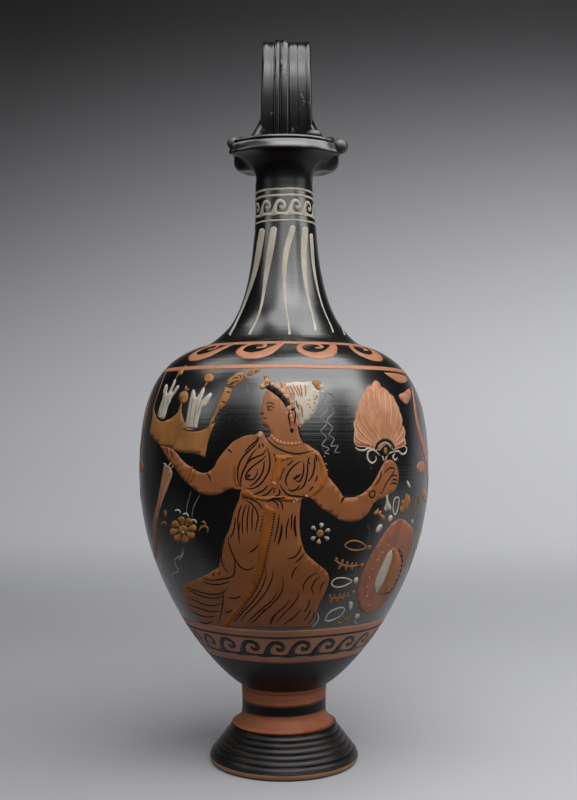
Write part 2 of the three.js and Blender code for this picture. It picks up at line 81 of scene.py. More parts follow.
def colour(name, description, default):
    return bpy.props.FloatVectorProperty(
        name=name, description=description, default=default, size=3, min=0.0, max=1.0, subtype="COLOR"
    )


class JugSizes(bpy.types.PropertyGroup):
    foot_radius: length("Foot radius", "Widest part of the foot", 40.0)
    foot_height: length("Foot height", "From the resting ring to the stem", 20.0)
    foot_top_radius: length("Foot top radius", "Where the stem's flare meets the foot", 28.0)
    foot_edge_height: length("Foot edge height", "Upright edge below the ribs", 4.4)
    foot_hollow_height: length("Foot hollow height", "Depth of the hollow under the foot", 13.0)
    rib_depth: length("Rib depth", "Depth of the grooves between the foot's ribs", 0.85)
    stem_radius: length("Stem radius", "Straight part of the stem", 22.7)
    stem_bore: length("Stem bore", "Hollow of the stem", 14.0)
    stem_flare: length("Stem flare", "Height of the stem's spreading base", 7.0)
    base_radius: length("Body base radius", "Where the body springs from the stem", 23.0)
    base_height: length("Body base height", "Height of the body's lowest point", 41.5)
    belly_radius: length("Belly radius", "Widest part of the body", 77.7)
    belly_height: length("Belly height", "Height of the widest part", 154.6)
    shoulder_radius: length("Shoulder radius", "Where the shoulder meets the neck", 42.8)
    shoulder_height: length("Shoulder height", "Height of that edge", 223.0)
    collar_radius: length("Collar radius", "Top of the fillet at the neck's root", 33.2)
    collar_height: length("Collar height", "Height of the top of the fillet", 230.2)
    seam_height: length("Seam height", "Joint between belly and shoulder", 209.0)
    neck_radius: length("Neck radius", "Top of the neck", 15.5)
    neck_height: length("Neck height", "Height of the top of the neck", 308.0)
    wall: length("Wall", "Thickness of the body's wall", 5.2)
    neck_wall: length("Neck wall", "Thickness of the neck's wall", 4.0)
    strap_width: length("Strap width", "Width of the handle", 27.0)
    strap_thickness: length("Strap thickness", "Thickness of the handle", 5.6)
    neck_shift: length("Neck shift", "How far the neck stands right of the axis", 0.85)
    back_shift: length("Back shift", "How far the side lobes and the handle stand right of the axis", 1.3)


class JugColours(bpy.types.PropertyGroup):
    gloss: colour("Gloss", "Black slip", (0.0012, 0.0012, 0.0011))
    gloss_thin: colour("Thin gloss", "Black slip where it lies thin", (0.0065, 0.0040, 0.0025))
    clay: colour("Clay", "Bare clay of the painted zones", (0.255, 0.102, 0.049))
    clay_dark: colour("Dark clay", "Bare clay where it is stained", (0.14, 0.050, 0.024))
    figure: colour("Figure clay", "Bare clay of the painted figure", (0.195, 0.066, 0.019))
    white: colour("Added white", "White slip", (0.37, 0.325, 0.265))
    ochre: colour("Added ochre", "Yellow-brown slip", (0.27, 0.115, 0.028))
    red: colour("Added red", "Red slip", (0.26, 0.098, 0.055))
    floor: colour("Floor", "Floor and backdrop", (0.290, 0.292, 0.307))


# The shape of the jug, shared by the bodies and the painting on them

def bezier(points, steps):
    share = np.linspace(0.0, 1.0, steps + 1)[:, None]
    points = [np.array(p, float) for p in points]
    if len(points) == 3:
        a, b, c = points
        return a * (1 - share) ** 2 + b * 2 * share * (1 - share) + c * share**2
    a, b, c, d = points
    return (
        a * (1 - share) ** 3 + b * 3 * share * (1 - share) ** 2
        + c * 3 * share**2 * (1 - share) + d * share**3
    )


class Outline:
    """The outer line of body and neck as radius and height, with the length along it."""

    def __init__(self, sizes):
        base = (sizes.base_radius, sizes.base_height)
        belly = (sizes.belly_radius, sizes.belly_height)
        edge = (sizes.shoulder_radius, sizes.shoulder_height)
        collar = (sizes.collar_radius, sizes.collar_height)
        top = (sizes.neck_radius, sizes.neck_height)
        slope = math.radians(32)
        fall = math.radians(16)
        meet = (edge[0] * 0.64 + collar[0] * 0.36 - 0.00025, edge[1] * 0.86 + collar[1] * 0.14)
        parts = [
            bezier((base, (base[0] + 23 * MM * math.cos(slope), base[1] + 23 * MM * math.sin(slope)),
                    (belly[0], belly[1] - 52.8 * MM), belly), 90),
            bezier((belly, (belly[0], belly[1] + 35.7 * MM),
                    (edge[0] + 30.3 * MM * math.cos(fall), edge[1] - 30.3 * MM * math.sin(fall)), edge), 70),
            bezier((edge, meet, collar), 14),
            bezier((collar, (collar[0] - 11 * MM, collar[1] + 11 * MM),
                    (top[0] + 1.4 * MM, top[1] - 43.4 * MM), top), 60),
        ]
        line = np.vstack([parts[0]] + [part[1:] for part in parts[1:]])
        self.radius, self.height = line[:, 0], line[:, 1]
        steps = np.hypot(np.diff(self.radius), np.diff(self.height))
        self.along = np.concatenate([[0.0], np.cumsum(steps)])
        tangent = np.gradient(line, self.along, axis=0)
        tangent /= np.linalg.norm(tangent, axis=1)[:, None]
        self.out = np.stack([tangent[:, 1], -tangent[:, 0]], axis=1)

    def along_at(self, height):
        return np.interp(height, self.height, self.along)

    def radius_at(self, height):
        return np.interp(height, self.height, self.radius)

    def section(self, along, depth=0.0):
        """Radius and height at a length along the line, moved inwards by a depth."""
        radius = np.interp(along, self.along, self.radius)
        height = np.interp(along, self.along, self.height)
        out_r = np.interp(along, self.along, self.out[:, 0])
        out_z = np.interp(along, self.along, self.out[:, 1])
        return np.stack([radius - out_r * depth, height - out_z * depth], axis=-1)

    def point(self, angle, along, lift):
        """The place at an angle from the front and a length along the line, lifted off the wall."""
        place = self.section(np.asarray(along), -np.asarray(lift))
        return np.stack([
            place[..., 0] * np.sin(angle), -place[..., 0] * np.cos(angle), place[..., 1]
        ], axis=-1)

    def stretch(self, low, high, steps, depth=0.0):
        along = np.linspace(self.along_at(low), self.along_at(high), steps + 1)
        return self.section(along, depth)


def mesh_object(name, points, faces, material, smooth=True):
    mesh = bpy.data.meshes.new(name)
    mesh.from_pydata([tuple(map(float, p)) for p in points], [], faces)
    mesh.update()
    if smooth:
        mesh.polygons.foreach_set("use_smooth", [True] * len(mesh.polygons))
    mesh.materials.append(material)
    piece = bpy.data.objects.new(name, mesh)
    bpy.context.scene.collection.objects.link(piece)
    return piece


def gathered(name, slot, *pieces):
    """One piece of several that share a finish."""
    whole = bmesh.new()
    for piece in pieces:
        whole.from_mesh(piece.data)
    mesh = bpy.data.meshes.new(name)
    whole.to_mesh(mesh)
    whole.free()
    mesh.materials.append(pieces[0].data.materials[0])
    drop(*pieces)
    piece = bpy.data.objects.new(name, mesh)
    bpy.context.scene.collection.objects.link(piece)
    finish_piece(piece, slot)


def finish_piece(piece, slot, *nodes):
    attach(piece, "root")
    if nodes:
        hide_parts(*nodes)


def refinish(piece, material, chosen):
    """Gives the chosen faces of a piece another finish."""
    piece.data.materials.append(material)
    for face in piece.data.polygons:
        if chosen(face):
            face.material_index = len(piece.data.materials) - 1


def soften(piece, degrees):
    """Smooth shading that keeps the edges sharper than an angle."""
    piece.data.set_sharp_from_angle(angle=math.radians(degrees))


def set_over(piece, sizes):
    """Moves what is on the neck a little to the right of the axis, where the potter set the neck down."""
    low, high, top = sizes.shoulder_height, sizes.collar_height + 3 * MM, sizes.neck_height
    for vertex in piece.data.vertices:
        z = vertex.co.z
        vertex.co.x += sizes.neck_shift * np.interp(z, (low, high, top - 22 * MM, top), (0, 1, 1, 0))


def closed_volume(points, faces):
    volume = 0.0
    for face in faces:
        a = points[face[0]]
        for i in range(1, len(face) - 1):
            volume += np.dot(a, np.cross(points[face[i]], points[face[i + 1]]))
    return volume


# Geometry Nodes: one method makes every node of a tree

class Tree:
    """A geometry node tree with named inputs."""

    def __init__(self, name, inputs):
        self.tree = bpy.data.node_groups.new(name, "GeometryNodeTree")
        self.identifiers = {}
        for title, kind, default in inputs:
            socket = self.tree.interface.new_socket(title, in_out="INPUT", socket_type=kind)
            self.identifiers[title] = socket.identifier
            if default is not None:
                socket.default_value = default
        self.tree.interface.new_socket("Geometry", in_out="OUTPUT", socket_type="NodeSocketGeometry")
        self.entry = self.tree.nodes.new("NodeGroupInput")
        self.exit = self.tree.nodes.new("NodeGroupOutput")

    def given(self, title):
        return self.entry.outputs[title]

    def node(self, kind, settings=None, inputs=None):
        node = self.tree.nodes.new(kind)
        for key, value in (settings or {}).items():
            setattr(node, key, value)
        for key, value in (inputs or {}).items():
            if isinstance(value, bpy.types.NodeSocket):
                self.tree.links.new(value, node.inputs[key])
            else:
                node.inputs[key].default_value = value
        return node

    def math(self, operation, a, b=0.0):
        return self.node("ShaderNodeMath", {"operation": operation}, {0: a, 1: b}).outputs[0]

    def finish(self, geometry, material):
        """Every tree ends in Realize Instances and Set Material."""
        real = self.node("GeometryNodeRealizeInstances", None, {0: geometry})
        dressed = self.node("GeometryNodeSetMaterial", None, {"Geometry": real.outputs[0], "Material": material})
        self.tree.links.new(dressed.outputs[0], self.exit.inputs[0])


def run_tree(tree, name, carrier, values):
    """Runs a tree on a carrier object and turns the result into a plain mesh."""
    modifier = carrier.modifiers.new("build", "NODES")
    modifier.node_group = tree.tree
    for title, value in values.items():
        modifier[tree.identifiers[title]] = value
    graph = bpy.context.evaluated_depsgraph_get()
    graph.update()
    mesh = bpy.data.meshes.new_from_object(carrier.evaluated_get(graph))
    mesh.name = name
    carrier.modifiers.remove(modifier)
    piece = bpy.data.objects.new(name, mesh)
    bpy.context.scene.collection.objects.link(piece)
    return piece


def helper_curve(name, points, cyclic=False):
    """A polyline that a tree reads, with radius as X and height as Y."""
    curve = bpy.data.curves.new(name, "CURVE")
    curve.dimensions = "3D"
    spline = curve.splines.new("POLY")
    spline.points.add(len(points) - 1)
    flat = np.zeros((len(points), 4))
    flat[:, :2] = points
    flat[:, 3] = 1.0
    spline.points.foreach_set("co", flat.ravel())
    spline.use_cyclic_u = cyclic
    holder = bpy.data.objects.new(name, curve)
    bpy.context.scene.collection.objects.link(holder)
    return holder


def drop(*holders):
    for holder in holders:
        data = holder.data
        bpy.data.objects.remove(holder)
        if isinstance(data, bpy.types.Mesh):
            bpy.data.meshes.remove(data)
        else:
            bpy.data.curves.remove(data)


def turning_tree():
    """Turns a profile round the jug's axis, as the wheel does. Each point of the profile stays a ring."""
    tree = Tree("wheel_turned", (
        ("Geometry", "NodeSocketGeometry", None),
        ("Profile", "NodeSocketObject", None),
        ("Steps Around", "NodeSocketInt", 200),
        ("Profile Points", "NodeSocketInt", 200),
        ("Material", "NodeSocketMaterial", None),
    ))
    profile = tree.node("GeometryNodeObjectInfo", {"transform_space": "ORIGINAL"}, {"Object": tree.given("Profile")})
    around = tree.math("ADD", tree.given("Steps Around"), 1.0)
    grid = tree.node("GeometryNodeMeshGrid", None, {
        "Size X": 1.0, "Size Y": 1.0, "Vertices X": around, "Vertices Y": tree.given("Profile Points"),
    })
    place = tree.node("GeometryNodeInputPosition")
    parts = tree.node("ShaderNodeSeparateXYZ", None, {0: place.outputs[0]})
    turn = tree.math("MULTIPLY", tree.math("ADD", parts.outputs[0], 0.5), 2 * math.pi)
    last = tree.math("SUBTRACT", tree.given("Profile Points"), 1.0)
    row = tree.math("ROUND", tree.math("MULTIPLY", tree.math("ADD", parts.outputs[1], 0.5), last))
    where = tree.node("GeometryNodeInputPosition")
    sample = tree.node("GeometryNodeSampleIndex", {"data_type": "FLOAT_VECTOR", "domain": "POINT"}, {
        "Geometry": profile.outputs["Geometry"], "Value": where.outputs[0], "Index": row,
    })
    at = tree.node("ShaderNodeSeparateXYZ", None, {0: sample.outputs[0]})
    x = tree.math("MULTIPLY", at.outputs[0], tree.math("SINE", turn))
    y = tree.math("MULTIPLY", at.outputs[0], tree.math("MULTIPLY", tree.math("COSINE", turn), -1.0))
    spot = tree.node("ShaderNodeCombineXYZ", None, {0: x, 1: y, 2: at.outputs[1]})
    moved = tree.node("GeometryNodeSetPosition", None, {
        "Geometry": grid.outputs["Mesh"], "Position": spot.outputs[0],
    })
    merged = tree.node("GeometryNodeMergeByDistance", None, {"Geometry": moved.outputs[0], "Distance": 2e-6})
    tree.finish(merged.outputs[0], tree.given("Material"))
    return tree


def frieze_tree():
    """Repeats a flat motif round the jug and lays it on the outline. The motif's X is an angle, its Y a
    length along the outline and its Z the lift off the wall."""
    tree = Tree("painted_frieze", (
        ("Geometry", "NodeSocketGeometry", None),
        ("Outline", "NodeSocketObject", None),
        ("Count", "NodeSocketInt", 12),
        ("Start Angle", "NodeSocketFloat", 0.0),
        ("Wander Around", "NodeSocketFloat", 0.0),
        ("Wander Along", "NodeSocketFloat", 0.0),
        ("Wander Scale", "NodeSocketFloat", 2.0),
        ("Seed", "NodeSocketFloat", 0.0),
        ("Material", "NodeSocketMaterial", None),
    ))
    outline = tree.node("GeometryNodeObjectInfo", {"transform_space": "ORIGINAL"}, {"Object": tree.given("Outline")})
    pitch = tree.math("DIVIDE", 2 * math.pi, tree.given("Count"))
    start = tree.node("ShaderNodeCombineXYZ", None, {0: tree.given("Start Angle")})
    step = tree.node("ShaderNodeCombineXYZ", None, {0: pitch})
    row = tree.node("GeometryNodeMeshLine", None, {
        "Count": tree.given("Count"), "Start Location": start.outputs[0], "Offset": step.outputs[0],
    })
    copies = tree.node("GeometryNodeInstanceOnPoints", None, {
        "Points": row.outputs[0], "Instance": tree.given("Geometry"),
    })
    real = tree.node("GeometryNodeRealizeInstances", None, {0: copies.outputs[0]})
    place = tree.node("GeometryNodeInputPosition")
    parts = tree.node("ShaderNodeSeparateXYZ", None, {0: place.outputs[0]})
    ring = tree.node("ShaderNodeCombineXYZ", None, {
        0: tree.math("SINE", parts.outputs[0]), 1: tree.math("COSINE", parts.outputs[0]),
        2: tree.math("MULTIPLY", parts.outputs[1], 12.0),
    })
    wander = tree.node("ShaderNodeTexNoise", {"noise_dimensions": "4D"}, {
        "Vector": ring.outputs[0], "W": tree.given("Seed"), "Scale": tree.given("Wander Scale"), "Detail": 1.0,
    })
    drift = tree.node("ShaderNodeSeparateXYZ", None, {0: wander.outputs["Color"]})
    around = tree.math("MULTIPLY", tree.math("SUBTRACT", drift.outputs[0], 0.5), tree.given("Wander Around"))
    along = tree.math("MULTIPLY", tree.math("SUBTRACT", drift.outputs[1], 0.5), tree.given("Wander Along"))
    angle = tree.math("ADD", parts.outputs[0], around)
    reach = tree.math("ADD", parts.outputs[1], along)
    sample = tree.node("GeometryNodeSampleCurve", {"mode": "LENGTH", "use_all_curves": True}, {
        "Curves": outline.outputs["Geometry"], "Length": reach,
    })
    at = tree.node("ShaderNodeSeparateXYZ", None, {0: sample.outputs["Position"]})
    slope = tree.node("ShaderNodeSeparateXYZ", None, {0: sample.outputs["Tangent"]})
    radius = tree.math("ADD", at.outputs[0], tree.math("MULTIPLY", slope.outputs[1], parts.outputs[2]))
    height = tree.math("SUBTRACT", at.outputs[1], tree.math("MULTIPLY", slope.outputs[0], parts.outputs[2]))
    x = tree.math("MULTIPLY", radius, tree.math("SINE", angle))
    y = tree.math("MULTIPLY", radius, tree.math("MULTIPLY", tree.math("COSINE", angle), -1.0))
    spot = tree.node("ShaderNodeCombineXYZ", None, {0: x, 1: y, 2: height})
    moved = tree.node("GeometryNodeSetPosition", None, {
        "Geometry": real.outputs[0], "Position": spot.outputs[0],
    })
    tree.finish(moved.outputs[0], tree.given("Material"))
    return tree


def sweeping_tree():
    """Carries a section along a path that lies in the plane of symmetry, with closed ends."""
    tree = Tree("swept_strap", (
        ("Geometry", "NodeSocketGeometry", None),
        ("Path", "NodeSocketObject", None),
        ("Section", "NodeSocketObject", None),
        ("Section Points", "NodeSocketInt", 40),
        ("Steps Along", "NodeSocketInt", 200),
        ("From", "NodeSocketFloat", 0.0),
        ("To", "NodeSocketFloat", 1.0),
        ("Root Widening", "NodeSocketFloat", 1.0),
        ("Root Length", "NodeSocketFloat", 0.05),
        ("Material", "NodeSocketMaterial", None),
    ))
    path = tree.node("GeometryNodeObjectInfo", {"transform_space": "ORIGINAL"}, {"Object": tree.given("Path")})
    section = tree.node("GeometryNodeObjectInfo", {"transform_space": "ORIGINAL"}, {"Object": tree.given("Section")})
    rows = tree.math("ADD", tree.given("Steps Along"), 3.0)
    grid = tree.node("GeometryNodeMeshGrid", None, {
        "Size X": 1.0, "Size Y": 1.0,
        "Vertices X": tree.math("ADD", tree.given("Section Points"), 1.0), "Vertices Y": rows,
    })
    place = tree.node("GeometryNodeInputPosition")
    parts = tree.node("ShaderNodeSeparateXYZ", None, {0: place.outputs[0]})
    corner = tree.math("ROUND", tree.math(
        "MULTIPLY", tree.math("ADD", parts.outputs[0], 0.5), tree.given("Section Points")))
    corner = tree.math("MODULO", corner, tree.given("Section Points"))
    last = tree.math("ADD", tree.given("Steps Along"), 2.0)
    row = tree.math("ROUND", tree.math("MULTIPLY", tree.math("ADD", parts.outputs[1], 0.5), last))
    step = tree.math("DIVIDE", tree.math("SUBTRACT", row, 1.0), tree.given("Steps Along"))
    step = tree.node("ShaderNodeClamp", None, {0: step}).outputs[0]
    span = tree.math("SUBTRACT", tree.given("To"), tree.given("From"))
    share = tree.math("ADD", tree.math("MULTIPLY", step, span), tree.given("From"))
    inside = tree.math("MULTIPLY", tree.math("GREATER_THAN", row, 0.5),
                       tree.math("LESS_THAN", row, tree.math("SUBTRACT", last, 0.5)))
    where = tree.node("GeometryNodeInputPosition")
    shape = tree.node("GeometryNodeSampleIndex", {"data_type": "FLOAT_VECTOR", "domain": "POINT"}, {
        "Geometry": section.outputs["Geometry"], "Value": where.outputs[0], "Index": corner,
    })
    flat = tree.node("ShaderNodeSeparateXYZ", None, {0: shape.outputs[0]})
    line = tree.node("GeometryNodeSampleCurve", {"mode": "FACTOR", "use_all_curves": True}, {
        "Curves": path.outputs["Geometry"], "Factor": share,
    })
    at = tree.node("ShaderNodeSeparateXYZ", None, {0: line.outputs["Position"]})
    way = tree.node("ShaderNodeSeparateXYZ", None, {0: line.outputs["Tangent"]})
    rise = tree.node("ShaderNodeMapRange", {"interpolation_type": "SMOOTHSTEP"}, {
        "Value": share, "From Min": 0.0, "From Max": tree.given("Root Length"),
        "To Min": tree.given("Root Widening"), "To Max": 1.0,
    })
    x = tree.math("MULTIPLY", tree.math("MULTIPLY", flat.outputs[0], rise.outputs[0]), inside)
    lift = tree.math("MULTIPLY", flat.outputs[1], inside)
    y = tree.math("SUBTRACT", at.outputs[0], tree.math("MULTIPLY", way.outputs[1], lift))
    z = tree.math("ADD", at.outputs[1], tree.math("MULTIPLY", way.outputs[0], lift))
    spot = tree.node("ShaderNodeCombineXYZ", None, {0: x, 1: y, 2: z})
    moved = tree.node("GeometryNodeSetPosition", None, {
        "Geometry": grid.outputs["Mesh"], "Position": spot.outputs[0],
    })
    merged = tree.node("GeometryNodeMergeByDistance", None, {"Geometry": moved.outputs[0], "Distance": 2e-6})
    tree.finish(merged.outputs[0], tree.given("Material"))
    return tree


def outward(piece):
    mesh = piece.data
    points = np.zeros(len(mesh.vertices) * 3)
    mesh.vertices.foreach_get("co", points)
    if closed_volume(points.reshape(-1, 3), [tuple(p.vertices) for p in mesh.polygons]) < 0:
        mesh.flip_normals()
    mesh.polygons.foreach_set("use_smooth", [True] * len(mesh.polygons))


def bare_carrier(name):
    carrier = bpy.data.objects.new(name, bpy.data.meshes.new(name))
    bpy.context.scene.collection.objects.link(carrier)
    return carrier


def turned_piece(name, profile, material, around=220, sharp=40):
    """A turned piece from a profile that runs up outside and down inside, closed or from axis to axis."""
    line = helper_curve(name + "_profile", profile)
    carrier = bare_carrier(name + "_carrier")
    piece = run_tree(turning_tree(), name, carrier, {
        "Profile": line, "Steps Around": around, "Profile Points": len(profile), "Material": material,
    })
    drop(line, carrier)
    outward(piece)
    soften(piece, sharp)
    return piece


def even_profile(points, spacing):
    """Adds points on long stretches, so that every corner stays a point of the mesh."""
    points = np.asarray(points, float)
    line = [points[0]]
    for a, b in zip(points[:-1], points[1:]):
        count = max(1, int(math.ceil(np.linalg.norm(b - a) / spacing)))
        for step in range(1, count + 1):
            line.append(a + (b - a) * step / count)
    return np.array(line)


# Flat shapes in millimetres that become thin layers of slip

def smooth_line(points, closed=False, step=0.8):
    """A smooth line through points. A point given twice in a row is a sharp corner."""
    points = [np.array(p, float) for p in points]
    corners = [i for i in range(len(points)) if np.allclose(points[i], points[i - 1]) and (closed or i > 0)]
    if corners:
        if closed:
            points = points[corners[0]:] + points[:corners[0]]
            pieces, run = [], [points[0]]
            for here in points[1:] + [points[0]]:
                if np.allclose(here, run[-1]):
                    if len(run) > 1:
                        pieces.append(run)
                    run = [here]
                else:
                    run.append(here)
            if len(run) > 1:
                pieces.append(run)
            line = []
            for run in pieces:
                line += list(smooth_line(run, False, step))[:-1]
            return np.array(line)
        runs, run = [], [points[0]]
        for here in points[1:]:
            if np.allclose(here, run[-1]):
                runs.append(run)
                run = [here]
            else:
                run.append(here)
        runs.append(run)
        line = []
        for run in runs:
            if len(run) > 1:
                line += list(smooth_line(run, False, step))[(1 if line else 0):]
        return np.array(line)
    count = len(points)
    if count == 2 and not closed:
        steps = max(2, int(np.linalg.norm(points[1] - points[0]) / step))
        share = np.linspace(0, 1, steps + 1)[:, None]
        return points[0] * (1 - share) + points[1] * share
    line = []
    for i in range(count if closed else count - 1):
        if closed:
            a, b, c, d = (points[(i + k) % count] for k in (-1, 0, 1, 2))
        else:
            b, c = points[i], points[i + 1]
            a = points[i - 1] if i > 0 else b * 2 - c
            d = points[i + 2] if i + 2 < count else c * 2 - b
        ta, tb, tc = (max(math.sqrt(np.linalg.norm(q - p)), 1e-4) for p, q in ((a, b), (b, c), (c, d)))
        leave = (b - a) / ta - (c - a) / (ta + tb) + (c - b) / tb
        arrive = (c - b) / tb - (d - b) / (tb + tc) + (d - c) / tc
        leave, arrive = leave * tb, arrive * tb
        steps = max(2, int(math.ceil(np.linalg.norm(c - b) / step)))
        for k in range(steps):
            t = k / steps
            line.append(
                (2 * t**3 - 3 * t**2 + 1) * b + (t**3 - 2 * t**2 + t) * leave
                + (3 * t**2 - 2 * t**3) * c + (t**3 - t**2) * arrive
            )
    if not closed:
        line.append(points[-1])
    return np.array(line)


def signed_area(loop):
    x, y = loop[:, 0], loop[:, 1]
    return 0.5 * float(np.sum(x * np.roll(y, -1) - np.roll(x, -1) * y))


class Slip:
    """Thin closed layers and brush lines in flat millimetres, gathered into one body of slip."""

    def __init__(self):
        self.points = []
        self.faces = []
        self.edges_flat = []

    def add(self, points, faces, flat):
        start = len(self.points)
        self.points += points
        self.faces += [tuple(i + start for i in face) for face in faces]
        self.edges_flat += flat

    def patch(self, shapes, holes=(), lift=0.06, sink=0.1, spacing=2.6):
        """The union of closed shapes less the holes, as a layer with upright edges."""
        corners, loops, solid = [], [], []
        for kind, group in ((True, shapes), (False, holes)):
            for loop in group:
                loop = np.asarray(loop, float)
                if signed_area(loop) < 0:
                    loop = loop[::-1]
                loops.append(list(range(len(corners), len(corners) + len(loop))))
                corners += [Vector(p) for p in loop]
                solid.append(kind)
        flat = np.array([tuple(c) for c in corners])
        low, high = flat.min(0), flat.max(0)
        for x in np.arange(low[0] + spacing / 2, high[0], spacing):
            for y in np.arange(low[1] + spacing / 2, high[1], spacing):
                corners.append(Vector((x, y)))
        where, _, triangles, _, _, source = delaunay_2d_cdt(corners, [], loops, 0, 1e-5)
        kept = [
            triangle for triangle, parents in zip(triangles, source)
            if any(solid[i] for i in parents) and all(solid[i] for i in parents)
        ]
        used = sorted({i for triangle in kept for i in triangle})
        number = {old: new for new, old in enumerate(used)}
        count = len(used)
        points = [(where[i][0], where[i][1], lift) for i in used]
        points += [(where[i][0], where[i][1], -sink) for i in used]
        faces, flags = [], []
        once = set()
        for triangle in kept:
            a, b, c = (number[i] for i in triangle)
            faces += [(a, b, c), (c + count, b + count, a + count)]
            flags += [False, False]
            for edge in ((a, b), (b, c), (c, a)):
                if (edge[1], edge[0]) in once:
                    once.remove((edge[1], edge[0]))
                else:
                    once.add(edge)
        for a, b in sorted(once):
            faces.append((b, a, a + count, b + count))
            flags.append(True)
        self.add(points, faces, flags)

    def stroke(self, line, width, lift=0.14, base=0.05, sink=0.1, taper=0.75):
        """A brush line with a raised middle and thinner ends."""
        line = np.asarray(line, float)
        way = np.gradient(line, axis=0)
        way /= np.maximum(np.linalg.norm(way, axis=1), 1e-9)[:, None]
        side = np.stack([-way[:, 1], way[:, 0]], axis=1)
        run = np.concatenate([[0], np.cumsum(np.linalg.norm(np.diff(line, axis=0), axis=1))])
        run = run / max(run[-1], 1e-9)
        half = width / 2 * (1 - taper * np.abs(2 * run - 1) ** 3.5)
        points, faces, flags = [], [], []
        rise = 0.012
        for i, (place, out) in enumerate(zip(line, side)):
            left, right = place + out * half[i], place - out * half[i]
            extra = rise * run[i]
            points += [
                (right[0], right[1], base + extra), (place[0], place[1], lift + extra),
                (left[0], left[1], base + extra), (left[0], left[1], -sink), (right[0], right[1], -sink),
            ]
        for i in range(len(line) - 1):
            here, there = 5 * i, 5 * (i + 1)
            for k in range(5):
                m = (k + 1) % 5
                faces.append((here + k, there + k, there + m, here + m))
                flags.append(k >= 2)
        faces.append((0, 1, 2, 3, 4))
        end = 5 * (len(line) - 1)
        faces.append((end + 4, end + 3, end + 2, end + 1, end))
        flags += [True, True]
        self.add(points, faces, flags)

    def dot(self, x, y, radius, lift=0.14, sink=0.1, squeeze=1.0, turn=0.0, sides=14):
        """A round or oval dab with a domed top."""
        cos, sin = math.cos(turn), math.sin(turn)
        ring = []
        for k in range(sides):
            a = 2 * math.pi * k / sides
            u, v = radius * math.cos(a), radius * squeeze * math.sin(a)
            ring.append((u * cos - v * sin, u * sin + v * cos))
        points = [(x, y, lift)]
        points += [(x + u * 0.62, y + v * 0.62, lift * 0.85) for u, v in ring]
        points += [(x + u, y + v, lift * 0.3) for u, v in ring]
        points += [(x + u, y + v, -sink) for u, v in ring]
        faces, flags = [], []
        for k in range(sides):
            m = (k + 1) % sides
            faces += [(0, 1 + k, 1 + m),
                      (1 + k, 1 + sides + k, 1 + sides + m, 1 + m),
                      (1 + sides + k, 1 + 2 * sides + k, 1 + 2 * sides + m, 1 + sides + m)]
            flags += [False, False, True]
        faces.append(tuple(1 + 2 * sides + k for k in reversed(range(sides))))
        flags.append(True)
        self.add(points, faces, flags)

    def ring(self, low, high, lift=0.07, sink=0.1, rows=4, columns=300):
        """A closed band round the jug between two lengths along the outline. Its X is an angle."""
        section = [(low + (high - low) * k / rows, lift) for k in range(rows + 1)]
        section += [(high, -sink), (low, -sink)]
        around = len(section)
        points, faces, flags = [], [], []
        for i in range(columns):
            angle = 2 * math.pi * i / columns
            points += [(angle, y, z) for y, z in section]
        for i in range(columns):
            here, there = i * around, ((i + 1) % columns) * around
            for k in range(around):
                m = (k + 1) % around
                faces.append((here + k, there + k, there + m, here + m))
                flags.append(k >= rows)
        self.add(points, faces, flags)

    def flat_object(self, name, turn):
        """The flat motif as a mesh with X as an angle, for the frieze tree. turn is a number, or gives the
        angle of a millimetre at each length along the outline."""
        flat = np.array(self.points)
        scale = turn(flat[:, 1]) if callable(turn) else turn
        points = np.stack([flat[:, 0] * scale, flat[:, 1] * MM, flat[:, 2] * MM], axis=1)
        mesh = bpy.data.meshes.new(name)
        mesh.from_pydata(points.tolist(), [], self.faces)
        mesh.polygons.foreach_set("use_smooth", [not flat for flat in self.edges_flat])
        motif = bpy.data.objects.new(name, mesh)
        bpy.context.scene.collection.objects.link(motif)
        return motif

    def on_body(self, name, outline, material, across=1.0):
        """The layers laid on the jug. X is millimetres round a circle of the belly's radius."""
        flat = np.array(self.points)
        angle = flat[:, 0] * MM / outline.belly
        points = outline.point(angle, flat[:, 1] * MM, flat[:, 2] * MM)
        mesh = bpy.data.meshes.new(name)
        mesh.from_pydata(points.tolist(), [], self.faces)
        mesh.polygons.foreach_set("use_smooth", [not flat for flat in self.edges_flat])
        mesh.materials.append(material)
        mesh.update()
        piece = bpy.data.objects.new(name, mesh)
        bpy.context.scene.collection.objects.link(piece)
        return piece


# The drawing: it is laid out flat, as the painted side is seen from the front, in units of 0.542 mm with X
# to the right and Y downwards, and thrown onto the body from the place of the viewer's eye

UNIT = 0.542
AXIS_X = 284.0
BASE_Y = 758.3
EYE = (2.44, -583.0, 180.65)


def throw(outline, drawing):
    """Drawing units to flat millimetres: round a circle of the belly's radius, and along the outline."""
    drawing = np.asarray(drawing, float)
    eye = np.array(EYE)
    aim = np.stack([
        (drawing[:, 0] - AXIS_X) * UNIT, np.zeros(len(drawing)), (BASE_Y - drawing[:, 1]) * UNIT
    ], axis=1) - eye
    best = np.full(len(drawing), 9e9)
    closest = np.ones(len(drawing))
    hit = np.full(len(drawing), np.nan)
    before = None
    for share in np.linspace(0.84, 1.1, 131):
        spot = eye + aim * share
        gap = np.hypot(spot[:, 0], spot[:, 1]) - outline.radius_at(spot[:, 2] * MM) / MM
        nearer = gap < best
        best[nearer], closest[nearer] = gap[nearer], share
        if before is not None:
            first = np.isnan(hit) & (gap <= 0) & (before > 0)
            hit[first] = share - 0.002 * (gap[first] / (gap[first] - before[first]))
        before = gap
    share = np.where(np.isnan(hit), closest, hit)
    spot = eye + aim * share[:, None]
    around = np.arctan2(spot[:, 0], -spot[:, 1]) * outline.belly / MM
    return np.stack([around, outline.along_at(spot[:, 2] * MM) / MM], axis=1)


